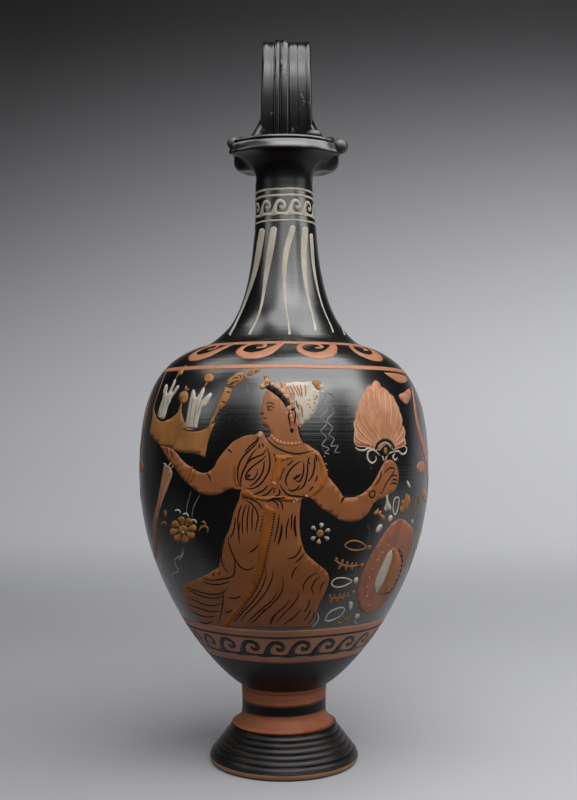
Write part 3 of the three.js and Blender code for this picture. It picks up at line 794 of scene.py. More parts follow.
def brush_shape(line, widths, step=0.5):
    """The outline of a brush stroke whose width changes along it, with a round end."""
    line = smooth_line(line, False, step)
    run = np.concatenate([[0], np.cumsum(np.linalg.norm(np.diff(line, axis=0), axis=1))])
    run /= run[-1]
    half = np.interp(run, np.linspace(0, 1, len(widths)), widths) / 2
    way = np.gradient(line, axis=0)
    way /= np.linalg.norm(way, axis=1)[:, None]
    side = np.stack([-way[:, 1], way[:, 0]], axis=1)
    left, right = line + side * half[:, None], line - side * half[:, None]
    tip = []
    for a in np.linspace(0, math.pi, 9)[1:-1]:
        tip.append(line[-1] + side[-1] * half[-1] * math.cos(a) + way[-1] * half[-1] * math.sin(a))
    return np.vstack([left, np.array(tip), right[::-1]])


def lay_frieze(tools, name, slip, material, count=1, start=0.0, turn=1.0, around=0.0, along=0.0, scale=2.0,
               seed=0.0):
    """Repeats a motif round the jug with the frieze tree."""
    outline = tools.outline
    line = helper_curve(name + "_outline", np.stack([outline.radius, outline.height], axis=1))
    motif = slip.flat_object(name + "_motif", turn)
    piece = run_tree(frieze_tree(), name, motif, {
        "Outline": line, "Count": count, "Start Angle": start, "Wander Around": around, "Wander Along": along,
        "Wander Scale": scale, "Seed": seed, "Material": material,
    })
    drop(line, motif)
    if name.startswith("neck"):
        set_over(piece, tools.sizes)
    return piece


# Finishes: an expression on values adds its Math nodes

class Value:
    """An output socket that can be used in sums."""

    def __init__(self, finish, socket):
        self.finish = finish
        self.socket = socket

    def _with(self, operation, a, b=0.0, clamp=False):
        node = self.finish.node("ShaderNodeMath", {"operation": operation, "use_clamp": clamp}, {0: a, 1: b})
        return Value(self.finish, node.outputs[0])

    def __add__(self, other): return self._with("ADD", self, other)
    def __radd__(self, other): return self._with("ADD", other, self)
    def __sub__(self, other): return self._with("SUBTRACT", self, other)
    def __rsub__(self, other): return self._with("SUBTRACT", other, self)
    def __mul__(self, other): return self._with("MULTIPLY", self, other)
    def __rmul__(self, other): return self._with("MULTIPLY", other, self)
    def __pow__(self, other): return self._with("POWER", self, other)
    def __lt__(self, other): return self._with("LESS_THAN", self, other)
    def __gt__(self, other): return self._with("GREATER_THAN", self, other)

    def fract(self):
        return self._with("FRACT", self)

    def within(self, low, high):
        return self._with("MAXIMUM", self, low)._with("MINIMUM", self._with("MAXIMUM", self, low), high)

    def clamp(self):
        return self._with("ADD", self, 0.0, clamp=True)

    def ramp(self, low, high):
        """0 below low, 1 above high, smooth between."""
        node = self.finish.node("ShaderNodeMapRange", {"interpolation_type": "SMOOTHSTEP"}, {
            "Value": self, "From Min": low, "From Max": high,
        })
        return Value(self.finish, node.outputs[0])


class Finish:
    """A material whose nodes all come from one method."""

    def __init__(self, name):
        self.material = bpy.data.materials.new(name)
        self.material.use_nodes = True
        self.tree = self.material.node_tree
        self.tree.nodes.clear()
        self.place = self.node("ShaderNodeTexCoord").outputs["Object"]

    def node(self, kind, settings=None, inputs=None):
        node = self.tree.nodes.new(kind)
        for key, value in (settings or {}).items():
            setattr(node, key, value)
        for key, value in (inputs or {}).items():
            if isinstance(value, Value):
                value = value.socket
            if isinstance(value, bpy.types.NodeSocket):
                self.tree.links.new(value, node.inputs[key])
            else:
                node.inputs[key].default_value = value
        return node

    def stretched(self, x, y, z):
        return self.node("ShaderNodeMapping", None, {"Vector": self.place, "Scale": (x, y, z)}).outputs[0]

    def noise(self, scale, detail=3.0, roughness=0.55, vector=None, distortion=0.0):
        node = self.node("ShaderNodeTexNoise", None, {
            "Vector": vector or self.place, "Scale": scale, "Detail": detail,
            "Roughness": roughness, "Distortion": distortion,
        })
        return Value(self, node.outputs[0])

    def specks(self, scale, size, vector=None):
        node = self.node("ShaderNodeTexVoronoi", None, {"Vector": vector or self.place, "Scale": scale})
        return 1.0 - Value(self, node.outputs["Distance"]).ramp(size * 0.5, size)

    def mix(self, share, a, b):
        node = self.node("ShaderNodeMix", {"data_type": "RGBA"}, {0: share, 6: a, 7: b})
        return node.outputs[2]

    def near(self, point, radius):
        """1 round a point, 0 outside a radius."""
        node = self.node("ShaderNodeVectorMath", {"operation": "DISTANCE"}, {0: self.place, 1: point})
        return 1.0 - Value(self, node.outputs["Value"]).ramp(radius * 0.6, radius)

    def axes(self):
        parts = self.node("ShaderNodeSeparateXYZ", None, {0: self.place})
        return [Value(self, parts.outputs[k]) for k in range(3)]

    def height(self):
        return self.axes()[2]

    def shine(self, colour, roughness, bump, depth, **constants):
        """The shader, with the constants straight on its own sockets."""
        relief = self.node("ShaderNodeBump", None, {"Strength": 1.0, "Distance": depth, "Height": bump})
        inputs = {"Base Color": colour, "Roughness": roughness, "Normal": relief.outputs[0]}
        inputs.update(constants)
        shader = self.node("ShaderNodeBsdfPrincipled", None, inputs)
        exit_node = self.node("ShaderNodeOutputMaterial")
        self.tree.links.new(shader.outputs[0], exit_node.inputs[0])
        return self.material


GLOSS_LEVEL = 0.9


def rgba(value):
    return (value[0], value[1], value[2], 1.0)


def gloss_parts(finish, colours, thrown=1.3):
    """Colour, roughness and relief of the black slip, with the wheel's marks where it lies on a thrown piece."""
    streaks = finish.noise(26.0, 4.0, 0.6, finish.stretched(1.0, 1.0, 5.0), 0.4)
    cloud = finish.noise(9.0, 3.0, 0.55)
    thin = (streaks * 0.6 + cloud * 0.5).ramp(0.58, 0.80)
    grain = finish.noise(900.0, 2.0, 0.6)
    wheel = finish.noise(60.0, 3.0, 0.6, finish.stretched(0.06, 0.06, 14.0))
    pits = finish.specks(210.0, 0.10)
    scuffs = finish.noise(120.0, 4.0, 0.7, finish.stretched(1.0, 1.0, 0.35), 1.2).ramp(0.64, 0.72)
    colour = finish.mix(thin, rgba(colours.gloss), rgba(colours.gloss_thin))
    colour = finish.mix(scuffs * 0.25, colour, (0.05, 0.047, 0.044, 1.0))
    rough = 0.18 + cloud * 0.08 + grain * 0.04 + scuffs * 0.14 + thin * 0.05
    relief = wheel * thrown + grain * 0.10 - pits * 0.5 + streaks * 0.25
    return colour, rough, relief


def clay_parts(finish, colours, plain=None):
    mottle = finish.noise(70.0, 5.0, 0.62)
    stain = finish.noise(22.0, 4.0, 0.6, None, 0.8).ramp(0.50, 0.72)
    grain = finish.noise(1100.0, 2.0, 0.6)
    brush = finish.noise(300.0, 3.0, 0.6, finish.stretched(0.25, 0.25, 1.0))
    plain = plain or colours.clay
    light = [c * 1.18 + 0.008 for c in plain]
    colour = finish.mix(mottle.ramp(0.3, 0.7), rgba(plain), rgba(light))
    colour = finish.mix(stain * 0.55 + (brush - 0.5) * 0.25, colour, rgba(colours.clay_dark))
    flecks = finish.specks(260.0, 0.13)
    colour = finish.mix(flecks * 0.5, colour, (0.035, 0.020, 0.013, 1.0))
    rough = 0.38 + mottle * 0.12 + grain * 0.06
    relief = brush * 0.5 + grain * 0.25 - flecks * 0.4
    return colour, rough, relief


def gloss_finish(colours, name="black_gloss", level=GLOSS_LEVEL, dull=0.0):
    finish = Finish(name)
    colour, rough, relief = gloss_parts(finish, colours)
    return finish.shine(colour, rough + dull, relief, 0.00006, **{"Specular IOR Level": level})


def handle_finish(colours):
    """Duller gloss, with buff specks of worn clay along the right reed's upper part and a few elsewhere."""
    finish = Finish("handle_gloss")
    black, rough, relief = gloss_parts(finish, colours, 0.0)
    x, _, height = finish.axes()
    patches = finish.noise(300.0, 4.0, 0.7, finish.stretched(1.0, 0.5, 0.5))
    reed = x.ramp(-0.0024, -0.0016) * (1.0 - x.ramp(0.0018, 0.0026)) * height.ramp(0.366, 0.374)
    worn = (patches + reed * 0.10).ramp(0.62, 0.70)
    colour = finish.mix(worn * 0.5, black, (0.20, 0.155, 0.10, 1.0))
    return finish.shine(colour, rough + worn * 0.3, relief - worn * 0.3, 0.00006, **{"Specular IOR Level": 0.6})


def clay_finish(colours, name="reserved_clay", plain=None, level=0.5):
    finish = Finish(name)
    colour, rough, relief = clay_parts(finish, colours, plain)
    return finish.shine(colour, rough, relief, 0.00005, **{"Specular IOR Level": level})


def slip_finish(name, colour, shadow, gaps, level=0.3):
    """A matt slip laid over the black, thinner in places so that the black shows through."""
    finish = Finish(name)
    brush = finish.noise(180.0, 4.0, 0.62, finish.stretched(1.0, 1.0, 0.5), 0.5)
    cloud = finish.noise(60.0, 3.0, 0.55)
    grain = finish.noise(1300.0, 2.0, 0.6)
    worn = finish.noise(520.0, 4.0, 0.7).ramp(0.66 - gaps, 0.74 - gaps)
    tone = finish.mix((brush * 0.6 + cloud * 0.5).ramp(0.42, 0.70), rgba(colour), rgba(shadow))
    tone = finish.mix(worn * 0.7, tone, (0.028, 0.022, 0.018, 1.0))
    return finish.shine(tone, 0.55 + grain * 0.15, brush * 0.5 + grain * 0.3 - worn * 0.6, 0.00005,
                        **{"Specular IOR Level": level})


def foot_finish(colours):
    """The foot: gloss over the ribs, worn in the grooves, a thin line of bare clay on the edge and bare clay
    underneath, with painted shade on the clay's lowest part next to the floor."""
    finish = Finish("foot_gloss")
    black, rough, relief = gloss_parts(finish, colours)
    clay, clay_rough, clay_relief = clay_parts(finish, colours, (0.16, 0.080, 0.033))
    height = finish.height()
    patches = finish.noise(34.0, 3.0, 0.6, finish.stretched(1.0, 1.0, 7.0))
    groove = (height * (1000 / 2.6) - 3.9 / 2.6).fract()
    worn = (1.0 - groove.ramp(0.03, 0.14) * (1.0 - groove.ramp(0.86, 0.97))) * patches.ramp(0.46, 0.62)
    black = finish.mix(worn * 0.6 * height.ramp(0.0055, 0.0065), black, (0.06, 0.024, 0.014, 1.0))
    chip = (finish.near((0.0070, -0.0305, 0.0175), 0.0011) + finish.noise(900.0) * 0.8 - 0.5).ramp(0.3, 0.6)
    black = finish.mix(chip * finish.near((0.0070, -0.0305, 0.0175), 0.0016), black, (0.36, 0.24, 0.19, 1.0))
    wobble = finish.noise(40.0, 3.0, 0.6) * 0.0008
    # Painted shade: the clay is darkened below about 1.4 mm, where the foot's rounded underside meets the floor
    clay = finish.mix(1.0 - height.ramp(0.0008, 0.0014), clay, (0.025, 0.014, 0.008, 1.0))
    edge = 1.0 - (height + wobble).ramp(0.0034, 0.0038)
    distance = finish.node("ShaderNodeVectorMath", {"operation": "LENGTH"}, {
        0: finish.stretched(1.0, 1.0, 0.0),
    })
    radius = Value(finish, distance.outputs["Value"])
    under = 1.0 - radius.ramp(0.0262, 0.0268)
    colour = finish.mix((edge + under).clamp(), black, clay)
    share = (edge + under).clamp()
    mixed = (rough + 0.08 + patches * 0.16) * (1.0 - share) + clay_rough * share
    return finish.shine(colour, mixed, relief + clay_relief * 0.3, 0.00016, **{"Specular IOR Level": 0.42})


def stem_finish(colours):
    """The stem: streaked bare clay with a broad black band, red lines beside it and a red edge below."""
    finish = Finish("stem_clay")
    black, rough, relief = gloss_parts(finish, colours)
    clay, clay_rough, clay_relief = clay_parts(finish, colours, (0.205, 0.066, 0.030))
    x, _, z = finish.axes()
    height = z - x * 0.022 + finish.noise(30.0, 2.0, 0.5) * 0.0007 - 0.00035

    def line(low, high):
        return height.ramp(low - 0.00015, low + 0.00015) * (1.0 - height.ramp(high - 0.00015, high + 0.00015))

    streaks = finish.noise(70.0, 3.0, 0.6, finish.stretched(0.06, 0.06, 14.0)).ramp(0.40, 0.68)
    colour = finish.mix(streaks * 0.4, clay, (0.11, 0.030, 0.015, 1.0))
    reds = line(0.0394, 0.0399) + line(0.0408, 0.0412) * 0.6 + line(0.0332, 0.0341) + line(0.0277, 0.0285) * 0.7
    reds = (reds + (1.0 - height.ramp(0.0206, 0.0214))).clamp()
    colour = finish.mix(reds * 0.85, colour, (0.052, 0.010, 0.006, 1.0))
    band = line(0.0284, 0.0332)
    colour = finish.mix(band, colour, black)
    mixed = (rough + 0.15) * band + (clay_rough + 0.08) * (1.0 - band)
    return finish.shine(colour, mixed, relief * 0.3 + clay_relief * 0.7, 0.00006, **{"Specular IOR Level": 0.2})


class Workshop:
    """The outline, the trees and the finishes that the operators share."""

    def __init__(self, scene):
        sizes, colours = scene.jug_sizes, scene.jug_colours
        self.sizes, self.colours = sizes, colours
        self.outline = Outline(sizes)
        self.outline.belly = sizes.belly_radius
        self.gloss = gloss_finish(colours)
        self.clay = clay_finish(colours)
        self.white = slip_finish("added_white", colours.white, [c * 0.72 for c in colours.white], 0.0)
        self.ochre = slip_finish("added_ochre", colours.ochre, [c * 0.62 for c in colours.ochre], -0.02)
        self.red = slip_finish("added_red", colours.red, [c * 0.70 for c in colours.red], -0.03)
        self.figure = clay_finish(colours, "figure_clay", colours.figure, 0.25)
        self.wash = slip_finish("ochre_wash", (0.26, 0.080, 0.012), (0.185, 0.056, 0.010), -0.03, 0.15)
        self.ink = slip_finish("black_lines", (0.006, 0.003, 0.002), (0.003, 0.0015, 0.001), -0.05, 0.12)
        self.peach = slip_finish("peach_slip", (0.40, 0.24, 0.14), (0.30, 0.15, 0.075), -0.02)
        self.salmon = slip_finish("salmon_slip", (0.38, 0.168, 0.088), (0.28, 0.105, 0.046), -0.03)
        self.faint = slip_finish("faint_white", (0.16, 0.16, 0.145), (0.07, 0.07, 0.065), 0.03)
        self.handle = handle_finish(colours)
        self.line = slip_finish("line_red", (0.05, 0.014, 0.009), (0.03, 0.010, 0.007), -0.03)
        self.foot = foot_finish(colours)
        self.low_gloss = gloss_finish(colours, "low_gloss", 0.35, 0.12)
        self.knob = gloss_finish(colours, "knob_gloss", 1.0, 0.24)
        self.brushes = {}
        self.stem = stem_finish(colours)


shop = {}


def workshop(context):
    if "tools" not in shop:
        shop["tools"] = Workshop(context.scene)
    return shop["tools"]


# The pieces

class JUG_OT_foot(bpy.types.Operator):
    """Turns the ribbed foot and the stem on it"""
    bl_idname = "jug.foot"
    bl_label = "Foot and Stem"

    def execute(self, context):
        tools = workshop(context)
        sizes = tools.sizes
        undercut, edge_rise = 2.2 * MM, 2.6 * MM
        rest = sizes.foot_radius - undercut
        hollow = rest - 7.0 * MM
        profile = [(hollow, 0.0)]
        profile += [(rest + undercut * math.sin(a), edge_rise * (1 - math.cos(a)))
                    for a in np.linspace(0, math.pi / 2, 9)]
        profile += [(sizes.foot_radius - 0.05 * MM, sizes.foot_edge_height - 0.7 * MM)]
        slope = np.array([sizes.foot_top_radius - sizes.foot_radius, sizes.foot_height - sizes.foot_edge_height])
        out = np.array([slope[1], -slope[0]]) / np.linalg.norm(slope)
        start = np.array([sizes.foot_radius, sizes.foot_edge_height])
        ribs, steps = 6, 14
        for k in range(1, ribs * steps):
            share = k / (ribs * steps)
            phase = (share * ribs) % 1.0
            depth = sizes.rib_depth * (1 - math.sin(math.pi * phase) ** 0.45)
            profile.append(tuple(start + slope * share - out * depth))
        profile += [(sizes.foot_top_radius, sizes.foot_height), (sizes.stem_bore, sizes.foot_height),
                    (sizes.stem_bore, sizes.foot_hollow_height)]
        inner = bezier(((sizes.stem_bore, sizes.foot_hollow_height), (sizes.stem_bore + 6 * MM, 10.5 * MM),
                        (hollow - 3 * MM, 5.0 * MM), (hollow, 0.0)), 14)
        profile += [tuple(p) for p in inner[1:]]
        foot = turned_piece("foot_turned", even_profile(profile, 3 * MM), tools.foot, 220, 50)
        finish_piece(foot, "black_gloss", "foot")

        low, high = sizes.foot_height, sizes.base_height
        flare = bezier(((sizes.foot_top_radius, low + 0.8 * MM), (sizes.stem_radius, low + 3.6 * MM),
                        (sizes.stem_radius, low + sizes.stem_flare)), 12)
        profile = [(sizes.stem_bore, low), (sizes.foot_top_radius - 0.5 * MM, low)]
        profile += [tuple(p) for p in flare]
        profile += [tuple(p) for p in bezier(((sizes.stem_radius, low + sizes.stem_flare),
                                              (sizes.stem_radius - 0.3 * MM, 34 * MM),
                                              (sizes.base_radius, high)), 10)[1:]]
        profile += [(sizes.stem_bore, high), (sizes.stem_bore, low)]
        stem = turned_piece("stem_turned", even_profile(profile, 2 * MM), tools.stem, 200, 50)
        finish_piece(stem, "reserved_clay", "stem")
        return {"FINISHED"}


class JUG_OT_body(bpy.types.Operator):
    """Turns the belly, the shoulder and the neck"""
    bl_idname = "jug.body"
    bl_label = "Body and Neck"

    def execute(self, context):
        tools = workshop(context)
        sizes, outline = tools.sizes, tools.outline
        outer = outline.stretch(sizes.base_height, sizes.seam_height, 150)
        inner = outline.stretch(sizes.seam_height, sizes.base_height + 12 * MM, 70, sizes.wall)
        floor = sizes.base_height + 7 * MM
        inner = [p for p in inner if p[1] > floor + 1 * MM]
        profile = [(0.0, sizes.base_height), *map(tuple, outer), *map(tuple, inner), (0.0, floor)]
        belly = turned_piece("belly_turned", even_profile(profile, 5 * MM), tools.gloss, 256, 50)
        under_band = np.interp(front_along(outline, 652) * MM, outline.along, outline.height)
        refinish(belly, tools.low_gloss, lambda face: face.center.z < under_band)
        finish_piece(belly, "black_gloss", "belly")

        outer = outline.stretch(sizes.seam_height, sizes.shoulder_height, 34)
        inner = outline.stretch(sizes.shoulder_height, sizes.seam_height, 20, sizes.wall)
        profile = [*map(tuple, outer), *map(tuple, inner), tuple(outer[0])]
        shoulder = turned_piece("shoulder_turned", even_profile(profile, 3 * MM), tools.gloss, 256, 50)
        finish_piece(shoulder, "black_gloss", "shoulder")

        outer = outline.stretch(sizes.shoulder_height, sizes.neck_height, 90)
        inner = outline.stretch(sizes.neck_height, sizes.shoulder_height, 50, sizes.neck_wall)
        profile = [*map(tuple, outer), *map(tuple, inner), tuple(outer[0])]
        neck = turned_piece("neck_turned", even_profile(profile, 3 * MM), tools.gloss, 200, 50)
        refinish(neck, tools.low_gloss, lambda face: face.center.z > 305.4 * MM)
        set_over(neck, sizes)
        finish_piece(neck, "black_gloss", "neck")
        return {"FINISHED"}


# The mouth's plan and section, as the CAD has them, with finer steps

LIP_STATIONS = (
    (0, 27.6, 24.3), (32, 29.04, 24.3), (54.4, 31.44, 24.3), (64, 32.4, 24.3), (80, 26.2, 25.62),
    (102, 30.0, 27.6), (126.13, 28.93, 27.6), (150.26, 28.22, 29.6), (180, 24.5, 29.6),
)
LIP_OVERHANG, LOBE_OVERHANG, LIP_THICKNESS, LIP_BAND, LIP_GROOVE, LIP_ROLL = 2.4, 0.8, 6.4, 5.7, 0.9, 1.7
ROLL_SETBACK, BAND_SETBACK, ARM_END = 3.0, 1.2, 112


def lip_at(angle, column):
    turn = abs((angle + 180) % 360 - 180)
    last = len(LIP_STATIONS) - 1
    low = 0
    while low < last - 1 and LIP_STATIONS[low + 1][0] < turn:
        low += 1

    def mirrored(i):
        if i < 0:
            return -LIP_STATIONS[-i][0], LIP_STATIONS[-i][column]
        if i > last:
            return 360 - LIP_STATIONS[2 * last - i][0], LIP_STATIONS[2 * last - i][column]
        return LIP_STATIONS[i][0], LIP_STATIONS[i][column]

    a, b, c, d = (mirrored(i) for i in (low - 1, low, low + 1, low + 2))
    step = c[0] - b[0]
    share = (turn - b[0]) / step
    slope_b = (c[1] - a[1]) / (c[0] - a[0]) * step
    slope_c = (d[1] - b[1]) / (d[0] - b[0]) * step
    square, cube = share**2, share**3
    return ((2 * cube - 3 * square + 1) * b[1] + (cube - 2 * square + share) * slope_b
            + (3 * square - 2 * cube) * c[1] + (cube - square) * slope_c)


def lobe_share(angle):
    turn = abs((angle + 180) % 360 - 180)
    share = min(1.0, max(0.0, (turn - 64) / (93.2 - 64)))
    return share * share * (3 - 2 * share)


def mouth_section(angle):
    """Distance from the axis and height above the neck, up the outside, round the lip and down inside."""
    lip, top = lip_at(angle, 1), lip_at(angle, 2)
    under = top - LIP_BAND - LIP_GROOVE - LIP_ROLL
    lobe = lobe_share(angle)
    edge = lip - LIP_OVERHANG + (LIP_OVERHANG - LOBE_OVERHANG) * lobe
    spread = edge - 15.5

    def between(front, side):
        return (front[0] + (side[0] - front[0]) * lobe, front[1] + (side[1] - front[1]) * lobe)

    flare = [between(f, s) for f, s in zip(
        ((0.02, 0.3), (0.14, 0.58), (0.36, 0.79), (0.66, 0.93)),
        ((0.03, 0.5), (0.35, 0.57), (0.8, 0.59), (0.99, 0.75)))]
    outside = [(15.5, 0.0)] + [(15.5 + spread * x, under * y) for x, y in flare] + [(edge, under)]
    bore, brim = 11.5, lip - LIP_THICKNESS
    low, high = between((0, 0.3), (0, 0.5)), between((0.34, 0.74), (0.44, 0.8))
    inside = [(brim, top - LIP_ROLL), (bore + (brim - bore) * 0.86, under + LIP_GROOVE),
              (bore + (brim - bore) * high[0], under * high[1]), (bore, under * low[1]), (bore, 0.0)]
    groove = under + LIP_BAND
    roll, shelf = lip - ROLL_SETBACK, lip - BAND_SETBACK
    lip_line = [
        (lip - 0.9, under + 0.05), (lip - 0.2, under + 0.2), (lip, under + 0.7),
        ((lip * 0.65 + shelf * 0.35) + 0.12, under + 2.0), ((lip * 0.3 + shelf * 0.7) + 0.12, groove - 1.6),
        (shelf, groove - 0.7), (shelf - 0.3, groove - 0.2), (shelf - 0.8, groove + 0.02), (roll - 0.25, groove + 0.08),
        (roll - 0.5, groove + 0.3), (roll - 0.35, groove + 0.6), (roll, groove + 1.0), (roll + 0.05, groove + 1.5),
        (roll - 0.2, top - 0.45), (roll - 0.8, top - 0.08), (roll - 1.6, top), (brim + 1.2, top),
        (brim + 0.5, top - 0.2), (brim + 0.1, top - 0.8),
    ]
    return resampled(outside, 26)[:-1] + lip_line + resampled(inside, 18)


def resampled(points, count):
    line = smooth_line(points, False, 0.25)
    run = np.concatenate([[0], np.cumsum(np.linalg.norm(np.diff(line, axis=0), axis=1))])
    at = np.linspace(0, run[-1], count)
    return [tuple(p) for p in np.stack([np.interp(at, run, line[:, 0]), np.interp(at, run, line[:, 1])], axis=1)]


def lofted(name, rings, material, joined, sharp=45):
    """A closed body through rings of points, joined end to start or closed at both ends."""
    points = np.array(rings, float).reshape(-1, 3)
    around, count = len(rings[0]), len(rings)
    faces = []
    for i in range(count if joined else count - 1):
        here, there = i * around, ((i + 1) % count) * around
        for k in range(around):
            side = (k + 1) % around
            faces.append((here + k, here + side, there + side, there + k))
    if not joined:
        faces.append(tuple(reversed(range(around))))
        faces.append(tuple((count - 1) * around + k for k in range(around)))
    if closed_volume(points, faces) < 0:
        faces = [tuple(reversed(face)) for face in faces]
    piece = mesh_object(name, points, faces, material)
    soften(piece, sharp)
    return piece


def on_mouth(sizes, angle, reach, rise):
    """A place on the mouth by angle, distance and height above the neck, with the lobes' shift."""
    turn = math.radians(angle)
    share = min(1.0, max(0.0, (rise - 1.8) / (13.8 - 1.8)))
    shift = sizes.back_shift * lobe_share(angle) * share * share * (3 - 2 * share)
    return (reach * math.sin(turn) * MM + shift, -reach * math.cos(turn) * MM, sizes.neck_height + rise * MM)


class JUG_OT_mouth(bpy.types.Operator):
    """Shapes the trefoil mouth with its banded lip"""
    bl_idname = "jug.mouth"
    bl_label = "Mouth"

    def execute(self, context):
        tools = workshop(context)
        steps = 216
        rings = []
        for k in range(steps):
            angle = 360 * k / steps
            section = mouth_section(angle)
            rings.append([on_mouth(tools.sizes, angle, r, z) for r, z in section])
        mouth = lofted("mouth_shaped", rings, tools.gloss, True, 60)
        refinish(mouth, tools.low_gloss, lambda face: face.normal.z < -0.15 or face.center.z < 315 * MM)
        finish_piece(mouth, "black_gloss", "mouth")
        return {"FINISHED"}


def strap_path(tools):
    """The strap's middle line as reach behind the axis and height, in millimetres."""
    sizes = tools.sizes
    belly = sizes.belly_radius / MM
    lip_back, top = 24.5, sizes.neck_height / MM + 29.6
    root = (lip_back - 3.2, top + 0.3)
    arch = top + 62.5 - sizes.strap_thickness / MM / 2 - 1.2
    front, apex, back = (root[0] - 3.5, 25.0), root[0] + 9.3, (belly - 14.0, 32.0)
    foot_reach, leg_reach = belly - 17.2, belly - 8.7
    outline = tools.outline
    upper = outline.height > sizes.belly_height
    foot = float(np.interp(-foot_reach * MM, -outline.radius[upper], outline.height[upper])) / MM + 6.0
    points = [root, (root[0], root[1] + 1.9), (root[0] - 2.1, (root[1] + arch - front[1]) / 2)]
    for turn in (180, 165, 150, 135, 120, 105, 90, 67, 45, 22, 0):
        a = math.radians(turn)
        end, rise = front if turn > 90 else back
        points.append((apex + (end - apex) * abs(math.cos(a)), arch + rise * (math.sin(a) - 1)))
    for height, reach in ((0.66, 1.0), (0.4, 1.0), (0.13, 0.55)):
        points.append((foot_reach + (leg_reach - foot_reach) * reach, foot + (arch - foot) * height))
    points.append((foot_reach, foot))
    return smooth_line(points, False, 1.2), foot


class JUG_OT_handle(bpy.types.Operator):
    """Sweeps the strap handle and its double reed, and presses the wad that holds it on the shoulder"""
    bl_idname = "jug.handle"
    bl_label = "Handle"

    def execute(self, context):
        tools = workshop(context)
        line, foot = strap_path(tools)
        path = helper_curve("strap_path", line * MM)
        run = float(np.sum(np.linalg.norm(np.diff(line, axis=0), axis=1)))
        face = [(13.5, 0.9), (13.25, 2.1), (12.4, 2.78), (11.3, 2.72), (10.2, 2.5), (8.4, 2.46), (6.7, 2.5),
                (6.25, 2.47), (5.9, 2.36), (5.5, 2.36), (5.1, 2.47), (4.6, 2.52), (3.0, 2.56), (1.8, 2.6),
                (1.4, 2.45), (1.3, 2.1), (1.3, 1.6), (1.3, 1.6), (-2.8, 1.6), (-6.9, 1.6), (-6.9, 1.6), (-6.9, 2.1),
                (-7.0, 2.5), (-7.3, 2.62), (-8.9, 2.46), (-10.4, 2.46), (-11.5, 2.7), (-12.5, 2.78),
                (-13.25, 2.1), (-13.5, 0.9), (-13.5, -1.0), (-13.1, -2.3), (-12.0, -2.75), (-8.0, -2.8),
                (0.0, -2.8), (8.0, -2.8), (12.0, -2.75), (13.1, -2.3), (13.5, -1.0)]
        section = smooth_line(face, True, 0.55)
        holder = helper_curve("strap_section", section * MM)
        tree = sweeping_tree()
        carrier = bare_carrier("strap_carrier")
        strap = run_tree(tree, "handle_strap_swept", carrier, {
            "Path": path, "Section": holder, "Section Points": len(section), "Steps Along": 260,
            "Root Widening": 29.4 / 27.0, "Root Length": 58.0 / run, "Material": tools.handle,
        })
        drop(holder)
        outward(strap)
        soften(strap, 50)
        strap.data.transform(Matrix.Translation((tools.sizes.back_shift, 0, 0)))
        finish_piece(strap, "black_gloss", "handle_strap")

        reed = []
        for middle, half in ((-1.3, 2.3), (-5.1, 1.5)):
            for a in np.linspace(0, math.pi, 13)[1 if reed else 0:]:
                reed.append((middle + half * math.cos(a), 2.75 + 1.2 * math.sin(a) ** 0.8))
        reed += [(-6.55, 1.9), (-2.8, 1.9), (0.95, 1.9)]
        holder = helper_curve("reed_section", np.array(reed) * MM)
        double = run_tree(tree, "handle_reed_swept", carrier, {
            "Path": path, "Section": holder, "Section Points": len(reed), "Steps Along": 260,
            "From": 5.0 / run, "To": 1 - 11.5 / run,
            "Root Widening": 29.4 / 27.0, "Root Length": 58.0 / run, "Material": tools.handle,
        })
        drop(holder, path, carrier)
        outward(double)
        soften(double, 60)
        double.data.transform(Matrix.Translation((tools.sizes.back_shift, 0, 0)))
        finish_piece(double, "black_gloss", "handle_reed")

        belly = tools.sizes.belly_radius / MM
        reach = belly - 17.2
        outline = tools.outline
        upper = outline.height > tools.sizes.belly_height
        rings = []
        for share in np.linspace(0.0, 1.0, 15):
            ring = []
            for a in np.linspace(0, 2 * math.pi, 72, endpoint=False):
                swell = 1 + 0.05 * math.sin(3 * a + 0.6) + 0.03 * math.sin(5 * a)
                x = tools.sizes.back_shift / MM + 17.4 * share * math.cos(a) * swell
                y = reach + 8.9 * share * math.sin(a) * swell
                low = float(np.interp(-math.hypot(x, y) * MM, -outline.radius[upper], outline.height[upper])) / MM
                lift = 8.9 * (1 - share**3.2) ** 1.15 + 0.12
                ring.append((x * MM, y * MM, (low + lift) * MM))
            rings.append(ring)
        under = []
        for x, y, z in rings[-1]:
            under.append((x, y, z - 0.9 * MM))
        rings.append(under)
        pad = lofted("handle_pad_pressed", rings, tools.gloss, False, 50)
        finish_piece(pad, "black_gloss", "handle_pad")
        return {"FINISHED"}


def rolled_knob(name, tools, aim, stretch, shift):
    """A knob of clay rolled between the fingers and pressed on, at its node's place and about as big."""
    low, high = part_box(name)
    centre, radius, aim = (low + high) / 2, (high - low)[2] / 2, Vector(aim).normalized()
    across = aim.cross(Vector((0, 0, 1))).normalized()
    up = across.cross(aim)
    rings = []
    for reach, wide in ((-0.97, 0.2), (-0.85, 0.5), (-0.6, 0.79), (-0.25, 0.96), (0.1, 0.99), (0.42, 0.9),
                        (0.66, 0.74), (0.8, 0.56), (0.87, 0.4), (0.93, 0.26), (0.96, 0.12)):
        rings.append([tuple(centre + Vector(shift) * MM + Vector(stretch) * radius * (
            aim * reach + (across * math.cos(a) + up * math.sin(a)) * wide * (1 + 0.02 * math.sin(3 * a + reach))))
                      for a in np.linspace(0, 2 * math.pi, 36, endpoint=False)])
    knob = lofted(name + "_rolled", rings, tools.knob, False, 70)
    finish_piece(knob, "black_gloss", name)


